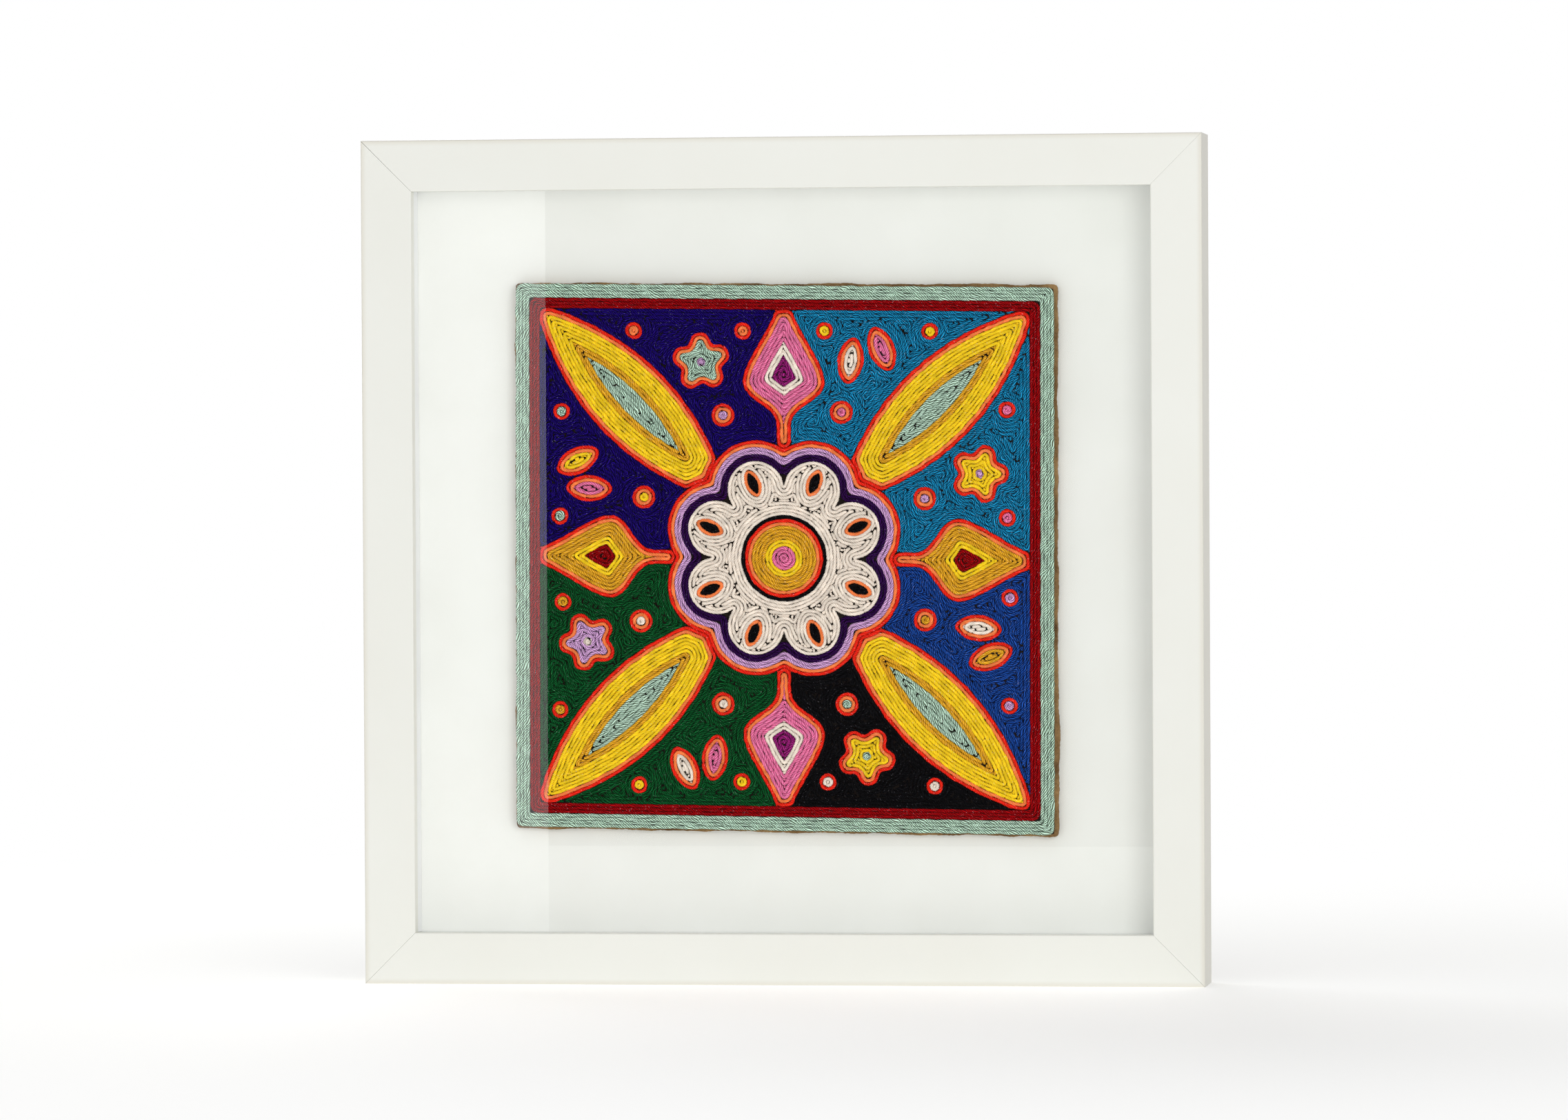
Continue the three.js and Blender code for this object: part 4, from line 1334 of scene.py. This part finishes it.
    def room_at(self, room: np.ndarray, place: np.ndarray) -> float:
        """The free room at the grid point nearest to a place, or none outside the grid."""
        column, row = np.round(place).astype(int)
        if 0 <= row < room.shape[0] and 0 <= column < room.shape[1]:
            return float(room[row, column])
        return -1.0

    def gap_line(self, room: np.ndarray, start: np.ndarray) -> np.ndarray:
        """Trace the middle of a gap both ways from its widest spot.

        Args:
            room: Free room round each grid point.
            start: The spot, as column and row.

        Returns:
            The line's points, as column and row places.
        """
        step = self.tuck_step / self.grid
        headings = np.arange(self.tuck_ways) * math.pi / self.tuck_ways
        ways = np.column_stack([np.cos(headings), np.sin(headings)])
        freedom = []
        for way in ways:
            freedom.append(sum(self.room_at(room, start + way * step * reach) for reach in self.tuck_look))
        freest = int(np.argmax(freedom))
        heading = headings[freest]
        sides = []
        for side in (heading, heading + math.pi):
            here, points = start, []
            for _ in range(self.tuck_steps):
                turns = side + np.radians(self.tuck_turn) * np.array([0, -1, 1, -2, 2])
                options = [here + step * np.array([math.cos(turn), math.sin(turn)]) for turn in turns]
                free = [self.room_at(room, option) for option in options]
                best = int(np.argmax(free))
                if free[best] < self.tuck_end * self.tuck_room:
                    break
                here, side = options[best], turns[best]
                points.append(here)
            sides.append(points)
        line = np.array([*sides[1][::-1], start, *sides[0]])
        if len(line) < 3:
            tip = ways[freest] * step
            line = np.array([start - tip, start, start + tip])
        return line


@dataclass
class YarnMesh:
    """Collects strands as twisted tubes for one mesh."""

    lay: YarnLay
    front: float
    back: float
    points: list[np.ndarray] = field(default_factory=list)
    faces: list[list[int]] = field(default_factory=list)
    places: list[np.ndarray] = field(default_factory=list)
    tones: list[np.ndarray] = field(default_factory=list)
    flank_darkening: list[np.ndarray] = field(default_factory=list)
    slots: list[int] = field(default_factory=list)
    total: int = 0

    def add(self, strand: Strand, slot: int) -> None:
        """Spin one strand.

        Args:
            strand: The strand.
            slot: Place of its dye among the mesh's materials.
        """
        lay, rng = self.lay, self.lay.rng
        length = np.linalg.norm(np.diff(strand.path, axis=0), axis=1).sum()
        step = min(lay.ring_step, length / lay.least_steps)
        path = spaced(strand.path, step)
        count = len(path)
        run = np.gradient(path, axis=0)
        run /= np.maximum(np.linalg.norm(run, axis=1, keepdims=True), TINY)
        aside = np.column_stack([-run[:, 1], run[:, 0]])
        along = np.arange(count) * step
        waves = rng.uniform(*lay.wave_lengths, lay.waves)
        phases = rng.uniform(0, 2 * math.pi, (5, lay.waves))
        sway, bob, swell, spin, shade = (
            np.sin(2 * math.pi * along[:, None] / waves + phase).mean(axis=1) for phase in phases
        )
        path = path + aside * (lay.wander * sway)[:, None]
        columns = 2 * PLIES
        turn = 2 * math.pi * (along / lay.turn_length + rng.random() + lay.spin * spin)
        angle = turn[:, None] + 2 * math.pi * np.arange(columns) / columns
        girth = np.interp(np.linspace(0, 1, count), np.linspace(0, 1, len(strand.girth)), strand.girth)
        radius = np.where(np.arange(columns) % 2, lay.groove, lay.crown)[None, :]
        radius = radius * (girth * (1 + 2 * lay.unevenness * swell))[:, None]
        radius[[0, -1]] *= lay.tip
        radius[[1, -2]] *= lay.near_tip
        middle = (self.front + self.back) / 2 + strand.sink - lay.bob * bob
        points = np.empty((count, columns, 3))
        points[..., 0] = path[:, :1] + aside[:, :1] * radius * np.cos(angle)
        points[..., 2] = path[:, 1:] + aside[:, 1:] * radius * np.cos(angle)
        rise = np.sign(np.sin(angle)) * np.abs(np.sin(angle)) ** lay.pressed
        points[..., 1] = middle[:, None] - lay.flatten * radius * rise
        self.points.append(points.reshape(-1, 3))
        tone = rng.uniform(*lay.tones) * (1 + 2 * lay.unevenness * shade)
        self.tones.append(np.repeat(tone, columns))
        # Partly wax stain, partly painted shade: the lower part of each strand's round is darkened, fully on
        # its back half
        self.flank_darkening.append(np.clip((lay.clean - np.sin(angle)) / lay.clean, 0, 1).ravel())
        self.join(count, columns, along + rng.uniform(0, lay.hank), slot)

    def join(self, count: int, columns: int, along: np.ndarray, slot: int) -> None:
        """Join the rings of the newest strand with faces and close its ends.

        Args:
            count: Number of rings.
            columns: Points in each ring.
            along: How far along the strand each ring is.
            slot: Place of its dye among the mesh's materials.
        """
        ring, column = np.meshgrid(np.arange(count - 1), np.arange(columns), indexing="ij")
        ring, column = ring.ravel(), column.ravel()
        beside = (column + 1) % columns
        here, there = self.total + ring * columns, self.total + (ring + 1) * columns
        quads = np.column_stack([here + column, here + beside, there + beside, there + column])
        self.faces += quads.tolist()
        share = np.column_stack([column, column + 1, column + 1, column]) / columns
        length = np.column_stack([along[ring], along[ring], along[ring + 1], along[ring + 1]])
        self.places.append(np.stack([length, share], axis=-1).reshape(-1, 2))
        first = list(range(self.total, self.total + columns))
        last = [place + (count - 1) * columns for place in first]
        self.faces += [first[::-1], last]
        self.places.append(np.zeros((2 * columns, 2)))
        self.slots += [slot] * (len(quads) + 2)
        self.total += count * columns

    def mesh(self, name: str) -> bpy.types.Mesh:
        """Make the mesh of all the strands.

        Args:
            name: Name of the mesh.

        Returns:
            The mesh, in metres.
        """
        mesh = new_mesh(name, np.concatenate(self.points), self.faces)
        mesh.polygons.foreach_set("material_index", self.slots)
        layer = mesh.uv_layers.new(name="lay")
        layer.data.foreach_set("uv", np.concatenate(self.places).ravel())
        for label, values in (("tone", self.tones), ("wax_and_shade", self.flank_darkening)):
            layer = mesh.attributes.new(label, "FLOAT", "POINT")
            layer.data.foreach_set("value", np.concatenate(values))
        mesh.shade_smooth()
        return mesh


@dataclass
class YarnPainting:
    """The picture: a hand-cut board, the wax on it, and the yarn that is pressed into the wax."""

    lay: YarnLay = field(default_factory=YarnLay)
    wax_rise: float = 0.45  # how far the wax comes up between the strands
    wax_inset: float = 1.1
    edge_step: float = 1.0
    edge_wave: float = 0.2
    edge_waves: tuple[int, ...] = (17, 29, 43, 71, 120)  # how often each wave fits round the edge
    full_wave: float = 20.0  # one that fits this often is as high as edge_wave, finer ones lower
    edge_rough: float = 0.08
    edge_round: float = 0.35
    edge_crease: float = 50.0
    rim_left: float = -0.5
    rim_right: float = 0.5
    rim_top: float = 0.7
    bulge: float = 0.9
    bulge_place: float = -112.0
    bulge_half: float = 26.0
    jitter: float = 1.4  # how far a hand strays in placing a figure
    sway: float = 6.0  # and in turning it, in degrees
    petal_seeds: int = 8
    seed_reach: float = 45.0
    seed_half_long: float = 8.5
    seed_half_wide: float = 4.4
    materials: dict[Dye, bpy.types.Material] = field(default_factory=dict)

    LEAF = (Dye.RED, Dye.CORAL) + (Dye.YELLOW,) * 5 + (Dye.OCHRE,) * 2 + (Dye.MINT,)
    PINK_BUD = (Dye.RED, Dye.CORAL) + (Dye.PINK,) * 4 + (Dye.CREAM,) * 2 + (Dye.MAGENTA,)
    OCHRE_BUD = (Dye.RED, Dye.CORAL) + (Dye.OCHRE,) * 4 + (Dye.YELLOW,) * 2 + (Dye.CRIMSON,)
    HEART = (Dye.BLACK, Dye.RED, Dye.CORAL) + (Dye.OCHRE,) * 4 + (Dye.YELLOW,) * 2 + (Dye.PINK,)
    FIELDS = {
        "border_mint": (Dye.MINT,) * 4,
        "border_crimson": (Dye.CRIMSON,) * 3,
        "flower_outline": (Dye.RED, Dye.CORAL),
        "flower_lavender": (Dye.LAVENDER,) * 2,
        "flower_purple": (Dye.PURPLE,) * 2,
        "flower_petals": (Dye.CREAM,),
        "flower_heart": HEART,
        "leaf_top_left": LEAF,
        "leaf_top_right": LEAF,
        "leaf_bottom_left": LEAF,
        "leaf_bottom_right": LEAF,
        "bud_top": PINK_BUD,
        "bud_bottom": PINK_BUD,
        "bud_left": OCHRE_BUD,
        "bud_right": OCHRE_BUD,
        "ground_right_upper": (Dye.TEAL,),
        "ground_top_right": (Dye.TEAL,),
        "ground_top_left": (Dye.NAVY,),
        "ground_left_upper": (Dye.NAVY,),
        "ground_left_lower": (Dye.GREEN,),
        "ground_bottom_left": (Dye.GREEN,),
        "ground_bottom_right": (Dye.BLACK,),
        "ground_right_lower": (Dye.ROYAL,),
    }
    BANDS = ("border_mint", "border_crimson", "flower_outline", "flower_lavender", "flower_purple")

    def build(self) -> None:
        """Make the board, the wax and every field of yarn."""
        tape = PressedCard("foam_tape_closed_cell", "#e9eae6", "#d6d8d3", fibre=0.5)
        dress(["foam_tape_left", "foam_tape_right"], tape.material())
        self.board()
        self.wax()
        for name, dyes in self.FIELDS.items():
            self.yarn_field(f"yarn_{name}", dyes)

    def middle(self) -> np.ndarray:
        """The middle of the board, across and up, in mm."""
        low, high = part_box("painting_board")
        return np.array([(low.x + high.x) / 2, (low.z + high.z) / 2]) / MM

    def hand_cut(self, loop: np.ndarray, wave: float, offset: float = 0.0) -> np.ndarray:
        """Make a drawn outline waver as a hand-cut edge does.

        Args:
            loop: The outline.
            wave: How far it wavers.
            offset: How far it also lies outside the drawn line.

        Returns:
            The wavering outline.
        """
        rng = np.random.default_rng(SEED + 1)
        loop = spaced(closed(loop), self.edge_step)[:-1]
        outwards = self.outward(loop)
        place = np.arange(len(loop)) * 2 * math.pi / len(loop)
        shift = np.full(len(loop), offset)
        for turns in self.edge_waves:
            height = wave * (self.full_wave / turns) ** 0.5
            shift += np.sin(turns * place + rng.uniform(0, 2 * math.pi)) * height
        rough = rng.normal(0, self.edge_rough, len(loop))
        return loop + outwards * (shift + rough)[:, None]

    def outward(self, loop: np.ndarray) -> np.ndarray:
        """Directions out of a closed outline, one at each of its points."""
        along = np.roll(loop, -1, axis=0) - np.roll(loop, 1, axis=0)
        along /= np.linalg.norm(along, axis=1, keepdims=True)
        area = np.sum(loop[:, 0] * np.roll(loop[:, 1], -1) - loop[:, 1] * np.roll(loop[:, 0], -1))
        return math.copysign(1, area) * np.column_stack([along[:, 1], -along[:, 0]])

    def uneven(self, loop: np.ndarray) -> np.ndarray:
        """Cut a board's edges unevenly: close on the left, wider to the upper right, and bulging low right.

        Args:
            loop: The board's outline.

        Returns:
            The uneven outline.
        """
        outwards = self.outward(loop)
        x, z = (loop - self.middle()).T
        half = np.abs(x).max()
        bulge = self.bulge * np.exp(-(((z - self.bulge_place) / self.bulge_half) ** 2))
        right = np.clip(outwards[:, 0], 0, 1) * (self.rim_right + bulge)
        left = np.clip(-outwards[:, 0], 0, 1) * self.rim_left
        top = np.clip(outwards[:, 1], 0, 1) * self.rim_top * x / half
        return loop + outwards * (right + left + top)[:, None]

    def slab(self, name: str, outline: np.ndarray, front: float, back: float) -> bpy.types.Mesh:
        """Make a flat sheet with a rounded front edge.

        Args:
            name: Name of the mesh.
            outline: Its outline, in mm.
            front: Place of its front along y.
            back: Place of its back.

        Returns:
            The mesh, in metres.
        """
        middle = outline.mean(axis=0)
        count = len(outline)
        rings = []
        for inset, y in ((0, back), (0, front + self.edge_round), (0.3, front + 0.1), (1, front)):
            shrink = 1 - inset * self.edge_round / np.linalg.norm(outline - middle, axis=1, keepdims=True)
            ring = middle + (outline - middle) * shrink
            rings.append(np.column_stack([ring[:, 0], np.full(count, y), ring[:, 1]]))
        faces = [list(range(count)), list(range(4 * count - 1, 3 * count - 1, -1))]
        for ring in range(0, 3 * count, count):
            for i in range(count):
                j = (i + 1) % count
                faces.append([ring + j, ring + i, ring + count + i, ring + count + j])
        mesh = new_mesh(name, np.concatenate(rings), faces)
        smooth_over(mesh, self.edge_crease)
        return mesh

    def board(self) -> None:
        """Cut the board."""
        low, high = (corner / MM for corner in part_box("painting_board"))
        outline = self.uneven(self.hand_cut(front_loops("painting_board")[0], self.edge_wave))
        mesh = self.slab("board", outline, low.y, high.y)
        add_piece("painting_board_sawn", mesh, "frame", "painting_board", SawnFibreboard().material())

    def wax(self) -> None:
        """Spread the wax, up to part of the strands' height."""
        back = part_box("wax_layer")[1].y / MM
        yarn_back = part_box("yarn_border_mint")[1].y / MM
        outline = self.hand_cut(front_loops("wax_layer")[0], self.edge_wave, -self.wax_inset)
        mesh = self.slab("wax", outline, yarn_back - self.wax_rise, back)
        add_piece("wax_layer_pressed", mesh, "frame", "wax_layer", HandPressedWax().material())

    def motifs(self, ground: str) -> list[Motif]:
        """List the small figures that are set into a field.

        Args:
            ground: Name of the field.

        Returns:
            The figures.
        """
        if ground == "yarn_flower_petals":
            return [self.petal_seed(360 / self.petal_seeds * (k + 0.5)) for k in range(self.petal_seeds)]
        sector = Sector.of(ground)
        return sector.figures(self.jitter, self.sway) if sector else []

    def petal_seed(self, turn: float) -> Motif:
        """A seed that points outwards from the middle of the flower, turned in degrees from the right."""
        x, z = (self.seed_reach * way(math.radians(turn)) for way in (math.cos, math.sin))
        dyes = (Dye.CORAL, Dye.BLACK)
        return Motif(MotifShape.SEED, x, z, self.seed_half_long, self.seed_half_wide, turn, dyes)

    def yarn_field(self, node: str, dyes: tuple[Dye, ...]) -> None:
        """Lay one field of yarn with the figures in it.

        Args:
            node: Name of the CAD node that it takes the place of.
            dyes: Dye of each strand from the edge in.
        """
        low, high = (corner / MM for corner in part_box(node))
        figures = self.motifs(node)
        outlines = [figure.outline(self.middle()) for figure in figures]
        loops = front_loops(node)
        is_band = node.removeprefix("yarn_") in self.BANDS
        if is_band:
            loops = [max(loops, key=lambda loop: np.ptp(loop[:, 0]))]
        strands = self.lay.fill(loops + outlines, dyes, is_band)
        for figure, outline in zip(figures, outlines):
            strands += self.lay.fill([outline], figure.dyes)
        used = list(dict.fromkeys(strand.dye for strand in strands))
        yarn = YarnMesh(self.lay, low.y, high.y)
        for strand in strands:
            yarn.add(strand, used.index(strand.dye))
        for dye in used:
            if dye not in self.materials:
                self.materials[dye] = SpunYarn(dye).material()
        finishes = [self.materials[dye] for dye in used]
        add_piece(f"{node}_strands", yarn.mesh(node), "frame", node, *finishes)


class Sector(Enum):
    """The eight grounds between buds and leaves: which way each is turned, and the dyes of its figures."""

    TOP_RIGHT = (1, 1, False, (Dye.CREAM, Dye.PINK, Dye.YELLOW))
    TOP_LEFT = (-1, 1, False, (Dye.MINT, Dye.LAVENDER, Dye.CORAL))
    BOTTOM_RIGHT = (1, -1, False, (Dye.YELLOW, Dye.MINT, Dye.CREAM))
    BOTTOM_LEFT = (-1, -1, False, (Dye.PINK, Dye.CREAM, Dye.YELLOW))
    RIGHT_UPPER = (1, 1, True, (Dye.YELLOW, Dye.LAVENDER, Dye.PINK))
    RIGHT_LOWER = (1, -1, True, (Dye.CREAM, Dye.OCHRE, Dye.LAVENDER))
    LEFT_UPPER = (-1, 1, True, (Dye.PINK, Dye.YELLOW, Dye.MINT))
    LEFT_LOWER = (-1, -1, True, (Dye.LAVENDER, Dye.CREAM, Dye.OCHRE))

    @classmethod
    def of(cls, ground: str) -> Sector | None:
        """The sector of a ground's node name, or None for any other node."""
        return next((s for s in cls if ground == f"yarn_ground_{s.name.lower()}"), None)

    def figures(self, jitter: float, sway: float) -> list[Motif]:
        """Place this ground's blossom or seeds, and its berries.

        Args:
            jitter: How far a hand strays from the drawn place, in mm.
            sway: How far it strays from the drawn turn, in degrees.

        Returns:
            The figures.
        """
        across, up, swapped, (first, second, third) = self.value
        rng = np.random.default_rng(SEED + list(Sector).index(self))
        edge = (Dye.RED, Dye.CORAL)
        plan = [
            (MotifShape.BERRY, 23, 125, 5.0, 5.0, 0, (Dye.RED, third)),
            (MotifShape.BERRY, 83, 126, 4.9, 4.9, 0, (Dye.RED, third)),
            (MotifShape.BERRY, 34, 80, 6.6, 6.6, 0, (*edge, second)),
        ]
        if swapped == (across == up):
            plan.append((MotifShape.BLOSSOM, 46, 110, 16.5, 16.5, 90, (*edge, first, first, first, second)))
        else:
            plan.append((MotifShape.SEED, 38, 110, 13.5, 7.4, 84, (*edge, first)))
            plan.append((MotifShape.SEED, 56, 116, 13.5, 7.4, 112, (*edge, second)))
        figures = []
        for shape, x, z, half_long, half_wide, turn, dyes in plan:
            x, z = x + rng.uniform(-jitter, jitter), z + rng.uniform(-jitter, jitter)
            turn += rng.uniform(-sway, sway)
            if swapped:
                x, z, turn = z, x, 90 - turn
            if across < 0:
                x, turn = -x, 180 - turn
            if up < 0:
                z, turn = -z, -turn
            figures.append(Motif(shape, x, z, half_long, half_wide, turn, dyes))
        return figures


# The studio


@dataclass
class Studio:
    """A pale floor, a soft white surround, lamps and the camera at the photograph's place."""

    azimuth: float = 8.08
    elevation: float = 0.90
    distance: float = 4.5
    target: tuple[float, float, float] = (-0.001, 0.0, 0.2354)
    roll: float = -0.297
    view_angle: float = 11.076
    floor_half: float = 1.5
    floor_near: float = 0.4
    floor_glow: float = 0.42
    side_light: float = 0.35
    front_light: float = 0.65
    key_place: tuple[float, float, float] = (1.9, -3.5, 0.7)
    key_size: float = 1.7
    key_power: float = 35.0
    back_place: tuple[float, float, float] = (-1.6, 2.6, 1.4)
    back_size: float = 2.8
    back_power: float = 56.0
    dim_room: float = 0.01
    window: float = 1.0
    window_edge: float = 0.172  # how far left of straight ahead the bright window starts, as a slope
    window_half: float = 0.2
    room_edge: float = -0.3  # the surround is the dim room where it lies further towards -Y than this
    floor_far: float = 0.95  # share of its half size at which the floor is all white

    def build(self) -> None:
        """Make the surround, floor, lamps and camera."""
        bpy.context.scene.view_settings.view_transform = "Standard"
        self.surround()
        self.floor()
        self.lamp("key", self.key_place, self.key_size, self.key_power)
        self.lamp("back_fill", self.back_place, self.back_size, self.back_power)
        self.camera()

    def surround(self) -> None:
        """Light the scene softly, white where it is seen, with a dim room and window behind the camera."""
        world = bpy.data.worlds.new("studio")
        bpy.context.scene.world = world
        world.use_nodes = True
        tree = world.node_tree
        tree.nodes.clear()
        rays = add_node(tree, "LightPath")
        way = add_node(tree, "TexCoord").outputs["Generated"]
        parts = add_node(tree, "SeparateXYZ", {0: way})
        leftward = add_node(tree, "Math", {0: parts.outputs["X"], 1: parts.outputs["Y"]}, operation="DIVIDE")
        on_window = add_node(
            tree, "Math",
            {0: leftward, 1: self.window_edge + self.window_half, 2: self.window_half},
            operation="COMPARE",
        )
        room = add_node(
            tree, "MapRange", {"Value": on_window, "To Min": self.dim_room, "To Max": self.window}
        )
        behind_camera = add_node(
            tree, "Math", {0: parts.outputs["Y"], 1: self.room_edge}, operation="LESS_THAN"
        )
        mirrored = add_node(tree, "Mix", {0: behind_camera, LEVEL_A: 1.0, LEVEL_B: room}, data_type="FLOAT")
        shown = add_node(
            tree, "Math",
            {0: rays.outputs["Is Glossy Ray"], 1: rays.outputs["Is Transmission Ray"]},
            operation="MAXIMUM",
        )
        direct = add_node(tree, "Math", {0: rays.outputs["Diffuse Depth"], 1: 0.5}, operation="LESS_THAN")
        reflected = add_node(tree, "Math", {0: shown, 1: direct}, operation="MULTIPLY")
        soft = add_node(
            tree, "Math",
            {0: parts.outputs["Y"], 1: -self.front_light, 2: self.side_light},
            operation="MULTIPLY_ADD",
        )
        level = add_node(tree, "Mix", {0: reflected, LEVEL_A: soft, LEVEL_B: mirrored}, data_type="FLOAT")
        strength = add_node(
            tree, "Mix", {0: rays.outputs["Is Camera Ray"], LEVEL_A: level, LEVEL_B: 1.0}, data_type="FLOAT"
        )
        light = add_node(tree, "Background", {"Color": linear("#ffffff"), "Strength": strength})
        add_node(tree, "OutputWorld", {"Surface": light})

    def floor(self) -> None:
        """Lay a white floor that keeps the object's shadow and fades into the white surround."""
        half = self.floor_half
        mesh = bpy.data.meshes.new("floor")
        corners = [(-half, -half, 0), (half, -half, 0), (half, half, 0), (-half, half, 0)]
        mesh.from_pydata(corners, [], [(0, 1, 2, 3)])
        material, tree = new_material("white_paper_sweep")
        lit = add_node(tree, "BsdfPrincipled", {"Base Color": linear("#f2f2f0"), "Roughness": 0.9})
        place = add_node(tree, "TexCoord").outputs["Object"]
        away = add_node(tree, "VectorMath", {0: place}, operation="LENGTH")
        fade = add_node(
            tree, "MapRange",
            {
                "Value": away.outputs["Value"],
                "From Min": self.floor_near,
                "From Max": self.floor_far * self.floor_half,
            },
            interpolation_type="SMOOTHSTEP",
        )
        strength = add_node(tree, "MapRange", {"Value": fade, "To Min": self.floor_glow, "To Max": 1.0})
        glow = add_node(tree, "Emission", {"Color": linear("#ffffff"), "Strength": strength})
        dark = add_node(tree, "Emission", {"Strength": 0.0})
        near = add_node(tree, "MixShader", {0: fade, 1: lit, 2: dark})
        paper = add_node(tree, "AddShader", {0: near, 1: glow})
        add_node(tree, "OutputMaterial", {"Surface": paper})
        mesh.materials.append(material)
        floor = add_object("floor", mesh)
        floor.visible_glossy = False

    def lamp(self, name: str, place: tuple[float, float, float], size: float, power: float) -> None:
        """Hang a soft square lamp that shines on the middle of the object.

        Args:
            name: Name of the lamp.
            place: Where it hangs, in metres.
            size: Length of its side, in metres.
            power: Its power, in watts.
        """
        light = bpy.data.lights.new(name, "AREA")
        light.size = size
        light.energy = power
        lamp = add_object(name, light)
        lamp.location = place
        lamp.rotation_euler = (Vector(self.target) - Vector(place)).to_track_quat("-Z", "Y").to_euler()
        lamp.visible_camera = False

    def camera(self) -> None:
        """Stand the camera where the photograph was taken from, turned as its picture is."""
        data = bpy.data.cameras.new("photo_camera")
        data.sensor_fit = "HORIZONTAL"
        data.angle = math.radians(self.view_angle)
        camera = add_object("photo_camera", data)
        azimuth, elevation, roll = (math.radians(a) for a in (self.azimuth, self.elevation, self.roll))
        level = math.cos(elevation)
        outwards = Vector((math.sin(azimuth) * level, -math.cos(azimuth) * level, math.sin(elevation)))
        right = Vector((0, 0, 1)).cross(outwards).normalized()
        up = outwards.cross(right)
        turned_right = right * math.cos(roll) + up * math.sin(roll)
        turned_up = up * math.cos(roll) - right * math.sin(roll)
        turn = Matrix((turned_right, turned_up, outwards)).transposed().to_4x4()
        camera.matrix_world = Matrix.Translation(Vector(self.target) + outwards * self.distance) @ turn
        bpy.context.scene.camera = camera


def main() -> None:
    """Build the studio and every sub-assembly."""
    logging.basicConfig(level=logging.INFO, format="%(message)s")
    Studio().build()
    zinc = PlatedMetal("steel_zinc_plated", "#c3c8cc", "#9fa4a6", 0.28, 0.46).material()
    brass = PlatedMetal("steel_brass_plated", "#d9b465", "#b48c42", 0.24, 0.42).material()
    BoxFrame().build(zinc)
    Glazing().dress()
    MountStack().dress()
    BackHardware(zinc=zinc, brass=brass).build()
    YarnPainting().build()


if __name__ == "__main__":
    main()
